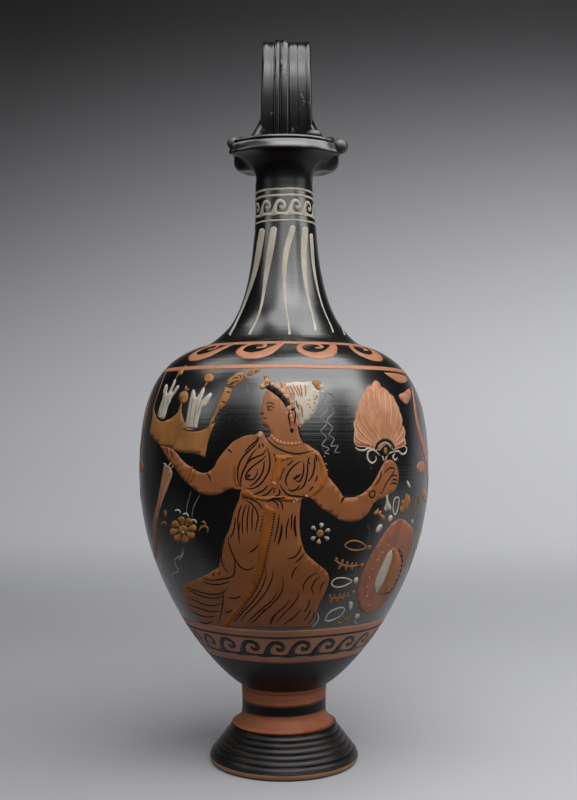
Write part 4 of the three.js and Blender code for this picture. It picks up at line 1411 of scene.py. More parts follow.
class JUG_OT_arms(bpy.types.Operator):
    """Draws the two arms out along the lip and sets the knobs on them"""
    bl_idname = "jug.arms"
    bl_label = "Arms and Knobs"

    def execute(self, context):
        tools = workshop(context)
        sizes = tools.sizes
        beside, root_reach, steps = 13.0, 24.5 - LIP_THICKNESS / 2, 60
        first_angle = 180 - math.degrees(math.atan2(beside, root_reach))
        for name, side in (("left", -1), ("right", 1)):
            rings = []
            for step in range(steps + 1):
                share = (step / steps) ** 1.6
                angle = first_angle + (ARM_END - first_angle) * share
                middle = lip_at(angle, 1) - LIP_THICKNESS / 2
                half = (5.6 + (3.5 - 5.6) * share) / 2
                height = 4.0 + (19.0 - 4.0) * (1 - share) ** 3
                ring = []
                for a in np.linspace(0, 2 * math.pi, 32, endpoint=False):
                    u = math.copysign(abs(math.cos(a)) ** 0.35, math.cos(a)) * half
                    v = math.copysign(abs(math.sin(a)) ** 0.35, math.sin(a)) * 0.5 + 0.5
                    lean = 1.8 * v * (1 - share) ** 4
                    ring.append(on_mouth(sizes, side * angle, middle + u - lean, lip_at(angle, 2) - 0.05 + v * height))
                rings.append(ring)
            rings[0] = [(side * beside * MM + sizes.back_shift, y, z) for _, y, z in rings[0]]
            arm = lofted(f"handle_arm_{name}_drawn", rings, tools.handle, False, 60)
            finish_piece(arm, "black_gloss", f"handle_arm_{name}")
            rolled_knob(f"rim_knob_{name}", tools, (side * 0.8, -0.5, 0.3), (1.15, 1, 1.08), (side * 0.3, 0, 0))
        rolled_knob("root_knob", tools, (0.25, -0.75, 0.6), (1.3, 1, 0.8), (-0.3, 0, -0.7))
        return {"FINISHED"}


def front_along(outline, drawing_y):
    """Millimetres along the outline at a height of the drawing, on the jug's front."""
    return float(throw(outline, [(AXIS_X, drawing_y)])[0][1])


def wave_motif(slip, pitch, low, high, lift, base, curl_width, spacing):
    """One crest of a running wave that rises from a band and curls over to the right."""
    tall = high - low

    def at(points):
        return [(x * pitch, low + y * tall) for x, y in points]

    crest = brush_shape(at([(0.10, base * 0.4), (0.14, 0.34), (0.24, 0.66), (0.42, 0.87), (0.63, 0.87),
                            (0.79, 0.70), (0.76, 0.50), (0.62, 0.45), (0.56, 0.53)]),
                        [w * curl_width * tall for w in (1.9, 1.5, 1.05, 0.95, 0.95, 0.9, 0.85, 0.9, 0.8)], 0.25)
    band = [(-0.001 * pitch, low), (pitch * 1.001, low), (pitch * 1.001, low + tall * (base + 0.05)),
            (pitch * 0.9, low + tall * base * 0.92), (pitch * 0.62, low + tall * base * 0.82),
            (pitch * 0.4, low + tall * base * 0.95), (pitch * 0.2, low + tall * base * 1.5),
            (-0.001 * pitch, low + tall * (base + 0.05))]
    slip.patch([crest, band], lift=lift, spacing=spacing)


class JUG_OT_friezes(bpy.types.Operator):
    """Paints the lines, running waves, tongues and spirals that go round the jug"""
    bl_idname = "jug.friezes"
    bl_label = "Friezes"

    def execute(self, context):
        tools = workshop(context)
        outline = tools.outline

        def along(height):
            return float(outline.along_at(height * MM)) / MM

        def turn_at(flat_along):
            return MM / np.interp(np.asarray(flat_along) * MM, outline.along, outline.radius)

        lines = Slip()
        for height, half in ((305.4, 0.62), (302.1, 0.66), (288.8, 0.50)):
            lines.ring(along(height) - half, along(height) + half, lift=0.09, rows=3, columns=260)
        neck_lines = lay_frieze(tools, "neck_lines", lines, tools.white, along=0.0011, seed=3.0)

        low, high = along(291.2), along(300.2)
        count = 12
        pitch = 2 * math.pi * float(outline.radius_at(296 * MM)) / MM / count
        waves = Slip()
        wave_motif(waves, pitch, low, high, 0.08, 0.24, 0.21, 1.4)
        neck_waves = lay_frieze(tools, "neck_waves", waves, tools.white, count=count, start=0.10,
                                turn=2 * math.pi / count / pitch, around=0.06, along=0.0010, seed=3.0)

        tongues = Slip()
        turns = (0, math.radians(168)), (math.radians(84),), (math.radians(-96),)
        for text, wide, more in (
            ("230,335 243.7,305 255,270 262,231", 1.0, ()), ("250,334.5 260,310 266,275 273.7,229.5", 1.1, ()),
            ("290.5,334.5 286,310 284,275 286,252 292.5,228", 1.0, turns[1] + turns[2]),
            ("316,330.5 306,287 303.7,252 305,229.5", 1.05, turns[1]),
            ("334,332.5 322,305 314,270 311,235", 0.55, ()), ("345.5,335 330,300 320,270 315.4,241", 0.4, ()),
        ):
            widths = [wide * w for w in (2.4, 1.7, 1.9, 2.6, 3.6, 4.7, 5.6, 6.0, 5.8)]
            shape = throw(outline, brush_shape(WHOLE(text), widths, 0.7) - (1.5, 0))
            for turn in turns[0] + more:
                tongues.patch([shape + (turn * outline.belly / MM, 0)], lift=0.09, spacing=1.6)
        neck_tongues = tongues.on_body("neck_tongues", outline, tools.white)
        set_over(neck_tongues, tools.sizes)
        gathered("neck_painting", "added_white", neck_lines, neck_waves, neck_tongues)

        shoulder = Slip()
        neck_low, neck_high = front_along(outline, 343.6), front_along(outline, 341.2)
        line_low, line_high = front_along(outline, 368.2), front_along(outline, 364.2)
        shoulder.ring(neck_low, neck_high, rows=4)
        shoulder.ring(line_low, line_high, rows=4)
        shoulder_lines = lay_frieze(tools, "shoulder_lines", shoulder, tools.clay, along=0.0016, seed=8.0)

        low, high = front_along(outline, 358.6), neck_high - 0.4
        tall = high - low
        count = 11
        middle = float(np.interp((low + high) / 2 * MM, outline.along, outline.radius)) / MM
        pitch = 2 * math.pi * middle / count

        def at(points):
            return [(x * pitch, low + y * tall) for x, y in points]

        curl = brush_shape(at([(1.02, 1.0), (0.88, 0.86), (0.74, 0.50), (0.56, 0.20), (0.34, 0.14), (0.17, 0.34),
                               (0.20, 0.66), (0.36, 0.82), (0.53, 0.76), (0.56, 0.58), (0.45, 0.52)]),
                           [2.8, 3.2, 4.4, 5.8, 6.0, 5.0, 3.4, 2.4, 2.2, 2.1, 1.7], 0.5)
        spirals = Slip()
        spirals.patch([curl], lift=0.08, spacing=2.2)
        spirals = lay_frieze(tools, "spirals", spirals, tools.clay, count=count, start=math.radians(-29),
                             turn=2 * math.pi / count / pitch, around=0.10, along=0.0016, seed=8.0)
        gathered("shoulder_spirals", "reserved_clay", shoulder_lines, spirals)

        ground = Slip()
        ground.ring(front_along(outline, 663.2), front_along(outline, 630.6), rows=14)
        finish_piece(lay_frieze(tools, "ground_band", ground, tools.clay, along=0.0012, seed=11.0),
                     "reserved_clay")
        edges = Slip()
        edges.ring(front_along(outline, 638.9), front_along(outline, 636.9), lift=0.13, rows=3)
        edges.ring(front_along(outline, 664.2), front_along(outline, 663.4), lift=0.11, rows=2)
        finish_piece(lay_frieze(tools, "ground_lines", edges, tools.line, along=0.0012, seed=11.0), "added_red")
        count = 24
        low, high = front_along(outline, 657.6), front_along(outline, 640.6)
        middle = float(np.interp((low + high) / 2 * MM, outline.along, outline.radius)) / MM
        pitch = 2 * math.pi * middle / count
        dark = Slip()
        wave_motif(dark, pitch, low, high, 0.13, 0.20, 0.20, 2.0)
        finish_piece(lay_frieze(tools, "ground_waves", dark, tools.low_gloss, count=count, start=0.05,
                                turn=2 * math.pi / count / pitch, around=0.05, along=0.0012, seed=11.0),
                     "black_gloss")
        return {"FINISHED"}


class Grid:
    """A finer grid over part of the drawing: its origin in drawing units and its steps to a unit."""

    def __init__(self, x, y, steps):
        self.origin = np.array((x, y), float)
        self.steps = steps

    def __call__(self, text):
        """Points from text such as "10,20 30,40! 50,60", where ! marks a sharp corner."""
        points = []
        for pair in text.split():
            point = self.origin + np.array([float(v) for v in pair.rstrip("!").split(",")]) / self.steps
            points += [point, point] if pair.endswith("!") else [point]
        return points

    def lines(self, text):
        """Several lines, parted by a slash."""
        return [self(part) for part in text.split("/")]


WHOLE = Grid(0, 0, 1)
LEFT = Grid(140, 360, 8)
RIGHT = Grid(300, 370, 7)
HEAD = Grid(200, 370, 10)
BODICE = Grid(235, 430, 15)
SKIRT = Grid(160, 480, 8)


class Brush:
    """Lays shapes of the drawing on the body in one colour of slip."""

    def __init__(self, outline):
        self.outline = outline
        self.slip = Slip()

    def areas(self, shapes, holes=(), lift=0.06, spacing=2.6):
        loops = [[throw(self.outline, smooth_line(shape, True, 1.2)) for shape in group]
                 for group in (shapes, holes)]
        self.slip.patch(loops[0], loops[1], lift=lift, spacing=spacing)

    def lines(self, lines, width, lift=0.17, base=0.09, taper=0.75):
        for line in lines:
            self.slip.stroke(throw(self.outline, smooth_line(line, False, 1.4)), width, lift, base, taper=taper)

    def loop(self, line, width, lift=0.17, base=0.09):
        points = smooth_line(line, True, 1.2)
        self.slip.stroke(throw(self.outline, np.vstack([points, points[:2]])), width, lift, base, taper=0.0)

    def dabs(self, points, radius, lift=0.2, squeeze=1.0, turn=0.0):
        """Dabs of the brush. The radius is in millimetres, the turn anticlockwise in degrees."""
        for x, y in throw(self.outline, points):
            self.slip.dot(x, y, radius, lift, squeeze=squeeze, turn=math.radians(turn), sides=12)

    def petals(self, centre, near, far, width, angles, lift=0.12):
        """Drop-shaped petals round a centre, between two distances from it, in drawing units."""
        for angle in angles:
            way = np.array((math.cos(math.radians(angle)), -math.sin(math.radians(angle))))
            across = np.array((-way[1], way[0]))
            reach = far - near
            shape = [(0, 0), (0, 0), (0.4, 0.34), (0.78, 0.5), (1, 0.22), (1, -0.22), (0.78, -0.5), (0.4, -0.34)]
            self.areas([[centre + way * (near + reach * u) + across * width * v for u, v in shape]], lift=lift)

    def lay(self, name, material, slot):
        piece = self.slip.on_body(name, self.outline, material)
        finish_piece(piece, slot)
        return piece


def along_line(line, spacing):
    """Points at even steps along a smooth line."""
    line = smooth_line(line, False, 0.4)
    run = np.concatenate([[0], np.cumsum(np.linalg.norm(np.diff(line, axis=0), axis=1))])
    steps = np.arange(0, run[-1], spacing)
    return np.stack([np.interp(steps, run, line[:, k]) for k in (0, 1)], axis=1)


class JUG_OT_figure(bpy.types.Operator):
    """Paints the seated woman in profile: bare clay, black folds, ochre and white details"""
    bl_idname = "jug.figure"
    bl_label = "Figure"

    def execute(self, context):
        tools = workshop(context)
        outline = tools.outline

        clay = Brush(outline)
        clay.areas([
            WHOLE("160,445.6! 170,448 176,452.5 181,458.8 186,463.8 190,466.3 195,470 202.5,473 208,471.9"
                  " 213.8,467.5 217.5,460 221.3,455 227.5,447.5 233.8,441.3 240,438 246.3,435.6 253.8,435"
                  " 258.8,437! 262,450! 250,490! 240,488.8! 232.5,488.8 228.8,489.4 222.5,493 215,495.3"
                  " 206.3,495 198.8,492.5 192.5,487.5 186.3,482.5 182.5,478.8 177.5,472.5 172.5,465"
                  " 167.5,458.8 163.8,452.5!"),
            BODICE("300,72 345,40 390,20 425,45 480,118! 535,98! 700,20! 1030,170 1040,195 1110,235 1190,290"
                   " 1255,330 1330,480 1380,620 1400,740! 1300,930! 1150,1035! 1130,1022! 990,1035! 985,1060!"
                   " 60,1060! 80,950 95,900! 0,890! -60,500! 0,170 150,110"),
            HEAD("690,540! 700,600 708,665! 760,760! 1045,745! 1000,640 985,545! 960,480!"),
            WHOLE("264.6,393.6! 267.8,389.6! 275,394.4 281,399.8 284.6,405.2! 285.6,409.4! 290.5,408.6!"
                  " 295,413 297.5,420 299,425! 288,432! 271,428.4! 267.5,427 264.4,426.4 262.4,424.7"
                  " 262.3,422.8 263.4,421.2! 262.2,420.2 262.2,419.1 263.3,418.4! 261.9,417.7 261.7,416.6"
                  " 262.6,415.3! 260.8,414.8 259.4,413.5 260,411.7 262.4,405.4! 263.2,401.5 263.5,397"),
            WHOLE("241,493! 239.4,498.8 233.8,512.5 230,527.5 225,538.8 221.3,548.8 220,561.3 218.8,567.5!"
                  " 207.5,573.8 197.5,578.8 180,586.3! 183.1,595 187.5,606.3 195,616.3 201.3,621.3 215,625"
                  " 217,628! 262,628.2 312.5,628! 315,617.5 318.8,605 325,592.5 328.8,580 327.5,573.1"
                  " 317.5,563.8 306.3,553.8 302.5,545 300,533.8 299.4,517.5 301.3,498.8! 301,493!"),
            RIGHT("190,740! 222,775 273,840 300,885! 330,893 380,888 430,870 490,820 530,760 560,700"
                  " 590,645! 610,632 640,630 672,660 685,700 690,770 672,830 640,865 620,880! 575,900 520,930"
                  " 480,1000 420,1050 360,1065 280,1050 200,1000 140,960 90,910! 60,860!"),
        ])
        clay.lay("figure_clay", tools.figure, "reserved_clay")

        wash = Brush(outline)
        for shape in (
            BODICE("-20,560 10,500 40,470! 62,425! 36,560 30,700 55,835! 25,845 -5,790 -28,690"),
            BODICE("1258,352! 1320,480 1368,620 1385,738! 1330,860 1230,955 1125,1005! 1185,900 1262,760"
                   " 1288,620 1268,480 1225,400"),
            BODICE("578,362! 640,376 850,388 880,418! 722,470 700,560 684,700 645,800 612,890 560,885"
                   " 545,780 560,640 584,520 602,450"),
            BODICE("92,955 150,905 210,900 252,935 300,985 480,1000 600,990 760,1000 985,1037! 980,1072!"
                   " 800,1075 600,1060 480,1075 300,1040 120,1020"),
            WHOLE("263.8,503! 262.5,521 260,536 258.8,550 256.3,565 252.5,580 246.3,592.5 237.5,605"
                  " 228.8,615 222.5,626! 228,627! 232.5,620 241.3,608.8 250,597.5 257.5,586 263.8,575"
                  " 267.5,561 270,547.5 272.5,530 275,510!"),
            HEAD("712,672! 780,720 880,735 960,735 1030,722! 1040,738! 960,752 870,750 770,735"),
        ):
            wash.areas([shape], lift=0.10)
        wash.lines(LEFT.lines("445,876 420,940 385,990/420,850 395,915 362,965"), 1.3, 0.2, 0.1)
        wash.lay("figure_wash", tools.wash, "added_ochre")

        ink = Brush(outline)
        ink.lines(BODICE.lines(
            "370,120 300,220 180,340 90,450 40,620 50,760 80,850/330,270 250,370 170,520 100,680 85,800 95,860/"
            "470,290 420,360 330,400 230,450 170,520 110,640/"
            "470,260 510,350 525,480 510,600 450,720 360,830 250,880 165,865/"
            "440,450 430,560 390,680 300,790 215,850/"
            "470,380 400,450 300,520 210,600 160,700 200,740 270,740 320,680 342,580/"
            "430,60 520,180 620,260 750,320 900,355 1020,345 1180,305/990,460 880,540 800,640 760,760 790,850/"
            "800,880 850,912 920,890 972,828/1030,480 1030,600 1000,720 960,775 895,740/"
            "1090,470 1090,600 1070,720 1030,840 940,905/1190,410 1192,560 1140,720 1090,780/"
            "670,815 740,920 800,970 1000,1000 1130,1022/500,820 430,900 330,950 270,965/"
            "560,870 480,960 400,990/660,880 670,950 620,990 600,985/600,1020 680,1022 760,1010"), 0.85)
        ink.lines(BODICE.lines(
            "405,190 430,260/365,210 362,280/880,450 780,540/1120,400 1100,470 1130,520/1210,350 1225,480/"
            "1240,680 1205,785/1180,840 1110,912/590,345 602,400/610,420 612,480/600,900 575,945/"
            "1640,1040 1600,1060 1595,1100/870,735 985,672"), 0.75)
        ink.lines(BODICE.lines("160,705 175,750/175,700 235,672/870,740 930,700 985,665"), 1.3)
        ink.lines(LEFT.lines("530,900 555,930 566,970/700,712 722,728 735,742/240,710 255,750 258,790/"
                             "210,700 225,740/950,600 935,640 880,690 835,740"), 0.8)
        ink.lines(RIGHT.lines(
            "290,932 292,905 312,890 395,884/570,700 560,760 520,810/575,860 600,800 640,740 670,690/"
            "590,720 630,685 668,690/640,745 665,735 682,742/640,775 660,765 684,775/630,800 655,790 680,800/"
            "575,862 560,858"), 0.8)
        ink.loop(RIGHT("498,850 518,845 524,868 512,892 494,888 486,868"), 0.75)
        ink.lines(SKIRT.lines(
            "655,190 632,260 622,330 626,410/692,190 668,260 658,340 664,440/716,190 704,260 698,340 698,430/"
            "744,205 738,260 736,330 738,400/660,152 722,180 770,240 786,300 776,350 764,412/"
            "700,148 762,168 800,200 820,240/605,300 590,400 560,470/640,330 630,420 636,510/"
            "545,440 550,500 575,580 610,650 650,700 700,718 745,702 762,680/712,580 750,560 788,518/"
            "520,480 500,540 490,600 495,660 520,710 550,740/590,600 600,690 582,768 500,790 420,802 350,792/"
            "562,812 470,836 400,832 352,818/540,862 508,900 430,916 340,902 250,872 208,858/"
            "512,930 430,946 330,930 260,895 215,880/490,990 420,1006 350,995 280,965 218,938/"
            "482,1050 400,1052 330,1032 270,1012 228,990/442,1090 380,1096 310,1080 248,1050/"
            "422,1130 370,1150 308,1132/500,880 506,960 490,1060 470,1150/420,772 436,738/468,762 482,730/"
            "545,940 600,946 652,930/510,1040 534,1060 580,1040/880,160 930,180 950,230/930,150 970,180 985,240/"
            "955,270 946,350 930,430 914,500/1032,300 1012,400 1010,480/1058,260 1052,330 1050,400/"
            "1136,520 1110,580 1070,620 1018,630/1158,580 1122,630 1080,662/1100,690 1064,740 1052,792/"
            "1255,740 1180,790 1150,840 1146,890/1282,770 1232,820 1214,870 1230,912/1320,810 1290,850 1284,882/"
            "850,700 845,780 810,870 760,950 680,1040 590,1140/910,710 892,800 850,890 780,980 700,1060 640,1130/"
            "980,770 986,850 960,920 900,990 820,1060 740,1140/940,890 900,960 830,1020 760,1080 690,1150/"
            "1040,950 1000,1010 940,1060 890,1110 878,1150/1110,890 1100,940 1050,1010 990,1070 930,1140/"
            "1200,950 1182,1020 1150,1062/1130,1030 1080,1090 1040,1120 985,1158/1212,1030 1180,1090 1148,1130/"
            "1240,1052 1220,1110 1182,1150/840,1030 800,1080 760,1120 718,1158/922,1080 900,1120 880,1158"), 0.72)
        ink.lines(SKIRT.lines("975,350 970,420 945,520/1085,280 1076,350 1090,460/860,175 905,150 960,150"), 1.15)
        hem = SKIRT("915,270 907,330 893,420 870,520 850,610 832,700 800,800 768,880 720,950 660,1035 590,1120")
        ink.dabs(along_line(hem, 2.75), 0.55)
        ink.dabs(along_line(SKIRT("820,292 812,350 800,425"), 3.4), 0.45)
        ink.dabs(along_line(BODICE("740,580 700,660 672,760"), 2.2), 0.45)
        ink.lines(WHOLE.lines(
            "265.4,404.5 267.8,402.9 271.2,402.8 275,404.8/265.9,407.6 268.2,406 271.2,406 274.8,408.1/"
            "266.8,409.2 269.4,410.1 272.8,409.3/263.4,418.4 266.6,418.2/261.8,413.9 262.9,413.2 263.9,414"), 0.55)
        ink.dabs([(268.6, 407.9)], 0.5)
        ink.lines(HEAD.lines("905,400 885,450 895,510 905,570/940,380 955,440 950,500 940,550/"
                             "985,545 1000,640 1045,742/880,382 915,396 950,372"), 0.8)
        ink.dabs(HEAD("918,604"), 0.9, squeeze=1.4)
        ink.areas([HEAD("640,168! 700,150 760,180 815,228 862,285 905,345 940,400! 905,425 878,398 850,352"
                        " 810,298 750,244 678,196!")], lift=0.09)
        tools.brushes["ink"] = ink
        return {"FINISHED"}


FAN_EDGE = RIGHT(
    "530,78 552,92 562,118! 600,138 625,165! 655,195 668,225! 690,265 695,300! 715,345 712,380! 735,430 728,470!"
    " 740,515 720,535! 672,552 650,560! 600,480! 560,560! 505,550 455,538! 395,528 380,500! 382,450 386,420!"
    " 378,380 392,345! 392,310 408,275! 412,240 432,205! 440,175 462,150! 475,120 505,112! 512,92")


class JUG_OT_finery(bpy.types.Operator):
    """Paints the woman's cap, crown and jewels, and the fan, tray and disc beside her"""
    bl_idname = "jug.finery"
    bl_label = "Finery"

    def execute(self, context):
        tools = workshop(context)
        outline = tools.outline

        ochre = Brush(outline)
        ochre.areas([
            WHOLE("153.1,406.9! 156.3,416.3 163.1,420.6 170,418.8 177.5,412.5 180.6,404.4! 182.5,416.3"
                  " 186.9,426.3 193.8,430 202.5,428.1 210,425 215,423.1! 211.9,430 208.1,441.3 205,457.5!"
                  " 195,453.8 185,453.1 178.8,451.9 170,448.1 160,445 152.5,437.5 149.4,433.8! 151.3,422.5"),
        ])
        for shape in LEFT.lines(
            "330,62 345,78 342,105 322,122 305,115 302,90/"
            "372,250 385,285 378,325 348,348 318,335 310,300 320,268 345,250/"
            "565,108 588,130 585,160 560,178 525,172 510,150 522,120/"
            "556,502! 590,440 625,350 665,260 680,215! 735,235! 715,300 680,360 640,400 600,460 586,500!/"
            "690,190! 700,160 740,130 790,100 830,105 850,130 830,160 790,185 760,215! 720,215 692,205/"
            "860,112 872,88 905,70 950,66 965,75 940,100 900,118 875,124"):
            ochre.areas([shape], lift=0.1)
        ochre.lines(LEFT.lines(
            "285,150 298,128 310,112/375,45 355,52 340,70/325,398 330,370 330,345/"
            "355,250 372,232 370,205/372,232 395,238/368,235 360,212/515,215 528,195 540,176/"
            "570,108 585,92 575,72/585,92 605,78/215,85 185,150 150,250 122,330 104,420/"
            "575,500 560,520 548,570/850,118 865,112"), 0.9)
        for shape in HEAD.lines(
            "640,60 690,70 690,120 665,140! 655,185! 605,190 605,150 640,130/"
            "710,112 735,108 748,135 735,160 712,162 698,138/765,140 800,150 808,180 785,198 762,185 756,160/"
            "810,185 845,192 852,222 830,238 808,228 800,205/858,232 892,240 900,275 880,298 852,285 848,255/"
            "905,298 935,300 942,325 925,342 900,338 892,315/878,360 908,362 912,392 890,405 870,392/"
            "1120,115! 1160,100 1205,118 1212,160 1195,205 1160,190 1140,160"):
            ochre.areas([shape], lift=0.12)
        for centre in (SKIRT("185,400")[0],):
            ochre.petals(centre, 3.5, 13.2, 7.4, range(10, 370, 45), 0.1)
            ochre.areas([[centre + 4.6 * np.array((math.cos(a), math.sin(a))) for a in np.arange(0, 6.2, 0.5)]],
                        lift=0.18)
        ochre.lines(SKIRT.lines("312,412 330,378 365,372 385,400 372,425/330,340 350,335 362,352 352,372/"
                                "28,330 20,352 8,345/28,330 45,345 52,362"), 1.1)
        ochre.dabs(SKIRT("42,266"), 1.5, squeeze=1.2)
        ochre.dabs([RIGHT("140,1145")[0]], 1.9)
        ochre.dabs(RIGHT("485,1240 435,1365 372,1555"), 1.3, squeeze=0.8)
        ochre.lines(RIGHT.lines(
            "240,1330 290,1362 340,1375 410,1368/262,1345 250,1310/290,1360 300,1325/290,1362 265,1400/"
            "320,1372 335,1340/325,1375 318,1405/355,1374 368,1348/360,1374 368,1400/385,1370 395,1350/"
            "205,1600 250,1600 300,1590 345,1578/215,1600 205,1572/240,1600 240,1565/228,1602 208,1640/"
            "270,1598 278,1562/262,1600 258,1635/300,1590 312,1560/298,1592 300,1622/325,1584 342,1556/"
            "300,1760 340,1730 355,1700/320,1748 300,1730/325,1745 345,1760/250,1780 300,1765"), 1.15)
        for shape in RIGHT.lines(
            "515,1008 530,985 550,968! 548,990! 572,985 568,1010! 590,1020 600,1060! 570,1040 545,1015/"
            "702,1005! 700,960 715,955! 715,915 735,905! 740,868 748,865! 765,880 772,900! 768,940 755,945!"
            " 758,975 742,985! 730,1000"):
            ochre.areas([shape], lift=0.1)
        ochre.loop(RIGHT("315,1228 345,1202 390,1196 440,1215 462,1240 430,1258 380,1262 335,1250"), 0.8)
        ochre.loop(RIGHT("822,880 832,910 828,950 812,1000 800,1010 800,960 808,910"), 0.7)

        salmon = Brush(outline)
        salmon.areas([FAN_EDGE], lift=0.08)
        salmon.areas([HEAD("800,118! 840,122 885,205 925,300 950,400 968,470 990,545 1015,560! 985,585 950,520"
                           " 925,430 900,350 862,262 822,195")], lift=0.09)
        salmon.dabs(along_line(HEAD("715,662 760,702 830,730 910,738 1025,728"), 3.7), 0.72, 0.2, squeeze=1.2)
        salmon.lay("salmon_finery", tools.salmon, "added_ochre")

        red = Brush(outline)
        red.areas([RIGHT(
            "700,1042 730,1050 770,1085 790,1110! 788,1180 770,1250 740,1350 700,1450 640,1560 580,1640"
            " 520,1690 470,1705 430,1690 408,1640 402,1560 415,1480 450,1390 500,1290 555,1200 600,1130"
            " 640,1080 670,1055")], lift=0.07)
        red.lay("offering_disc", tools.red, "added_red")

        white = Brush(outline)
        for shape in LEFT.lines(
            "138,445! 150,400 165,350 180,310 185,260 200,205 213,192 222,215 215,260 225,265! 250,215 270,165"
            " 287,148! 280,190 255,250 262,258! 290,215 308,200 312,215 285,260 250,310 240,340 225,370"
            " 205,440 190,472 160,466/"
            "362,520! 375,450 385,390 395,330 405,290 415,250 430,235 442,255 445,295 455,300! 475,270"
            " 495,235 517,213! 515,250 498,300 490,330! 510,310 545,275 568,262 575,275 560,310 530,360"
            " 495,390 480,440 465,500 458,545! 410,550 365,538!"):
            white.areas([shape], lift=0.1)
        white.areas([HEAD(
            "835,128! 890,128 960,118 1040,122 1110,112! 1140,160 1165,195 1198,205! 1196,260 1180,345"
            " 1140,440 1090,500 1010,556! 985,540! 968,470 950,400 925,300 885,205")], lift=0.12)
        white.dabs(HEAD("1215,160"), 1.2, squeeze=0.9)
        white.dabs(HEAD("1228,222"), 0.8)
        white.dabs(HEAD("722,138 668,96"), 0.6, 0.34)
        white.lines(SKIRT.lines("190,545 185,590 120,640 128,690 150,730 102,750 112,800 142,830/"
                                "170,560 178,610 150,640"), 0.65, 0.1, 0.04)
        white.lines(BODICE.lines("1335,395 1352,400/1350,500 1380,520/1370,600 1395,608"), 0.5)
        white.dabs([SKIRT("185,420")[0]], 0.8, 0.34)
        for x, y in ((138, 262), (202, 292), (266, 342)):
            arc = [(x + 24 * math.cos(a), y - 22 * math.sin(a)) for a in (2.6, 2.0, 1.4, 0.8, 0.2, -0.4)]
            white.lines([[SKIRT.origin + np.array(p) / SKIRT.steps for p in arc]], 0.9, 0.2, 0.1)
        white.petals(RIGHT("140,1145")[0], 5.2, 10.6, 4.2, (80, 140, 215, 262, 325, 22), 0.12)
        fan = [
            "600,520 580,440 545,330 520,210 525,120", "600,520 590,420 570,300 555,200 560,140",
            "595,530 560,450 510,350 480,260 480,160", "590,530 540,460 480,380 450,290 452,200",
            "585,535 520,480 460,410 425,340 420,260", "580,540 500,500 440,450 405,400 400,330",
            "575,545 490,520 430,500 395,470 395,420", "605,520 600,420 600,300 600,200 595,155",
            "610,520 625,430 640,330 640,240 630,185", "615,525 650,440 675,350 678,280 665,240",
            "620,530 670,460 705,390 705,330 695,300", "625,535 680,490 720,440 722,400",
            "630,545 690,520 728,490",
        ]
        white.lines(RIGHT.lines(
            "385,540 410,560 450,562 480,548 500,560/530,600 532,630 505,652 478,630 472,595 480,570 510,560"
            " 540,580 560,600/640,575 690,570 715,590 740,580 745,545 728,535/600,640 605,610 620,585 650,575/"
            "665,585 650,610 668,632 680,612/575,600 585,625 590,640"), 1.0)
        white.lines(RIGHT.lines("535,575 545,535 575,510 605,508 635,525 655,560"), 1.2, 0.22)
        white.areas([RIGHT(
            "648,1250! 645,1300 630,1360 600,1440 565,1520 535,1562 522,1545 522,1500 545,1430 585,1340"
            " 615,1285")], lift=0.14)
        white.dabs(along_line(RIGHT("620,1225 560,1300 510,1390 478,1480 468,1580 485,1660"), 9.5), 0.5, 0.2)
        white.dabs(along_line(RIGHT("700,1285 712,1330 700,1400 668,1480 625,1555"), 5.0), 0.45, 0.3)
        for oval in ("220,1495 245,1465 290,1456 340,1464 362,1480 335,1500 285,1520 240,1518",
                     "178,1755 195,1710 240,1678 290,1665 310,1672 290,1715 240,1745 200,1758",
                     "652,985 655,930 670,895 690,895 692,930 680,985 665,1015"):
            white.loop(RIGHT(oval), 0.85)
        for shape in RIGHT.lines(
            "375,1490! 378,1465 400,1450 410,1460! 402,1485 388,1500/"
            "340,1640! 350,1620 372,1630! 362,1670 345,1680/380,1730 400,1705 418,1712 412,1735 390,1748/"
            "748,770! 760,785 772,810 772,828! 758,815 750,795/600,880! 615,875! 622,920 640,960! 635,985!"
            " 615,975 605,992! 590,980 602,930/618,1040 632,1015 648,1025 640,1055 622,1065/"
            "530,1138 540,1100 565,1078 578,1090 568,1120 545,1140/782,1045! 792,1050 790,1075 780,1080"):
            white.areas([shape], lift=0.1)
        white.lines(RIGHT.lines("372,1800 382,1770 388,1745/375,1755 400,1780/85,1800 115,1770 130,1740 120,1700"),
                    0.7)
        white.lines(LEFT.lines("200,825 215,850 240,870 252,905 235,960 205,1030 180,1110 160,1190/"
                               "250,820 235,840 225,850/190,825 205,850/268,845 250,870"), 0.85)
        tools.brushes["white"] = white

        peach = Brush(outline)
        peach.lines([smooth_line(HEAD("612,165 667,100 722,136 775,165 828,212 872,262 918,318 900,384"))], 0.8,
                    0.14, 0.11, 0.0)
        peach.dabs(HEAD("620,160 668,98 722,138 775,166 828,210 872,262 918,320 890,382"), 1.25, 0.30)
        peach.dabs(HEAD("905,418 912,462 925,505"), 0.6, 0.26, squeeze=1.4)
        peach.dabs(HEAD("602,632 595,655"), 0.9, 0.26)
        peach.dabs(BODICE("885,1080 930,1060 1070,990 1235,365 570,790 600,800"), 0.6, 0.26)
        for rib in fan:
            peach.areas([brush_shape(RIGHT(rib), [0.6, 0.7, 0.9, 1.2, 1.6, 1.9, 2.1, 1.6], 0.6)], lift=0.13)
        peach.loop(FAN_EDGE, 0.6, 0.15, 0.08)
        peach.lay("peach_touches", tools.peach, "added_ochre")

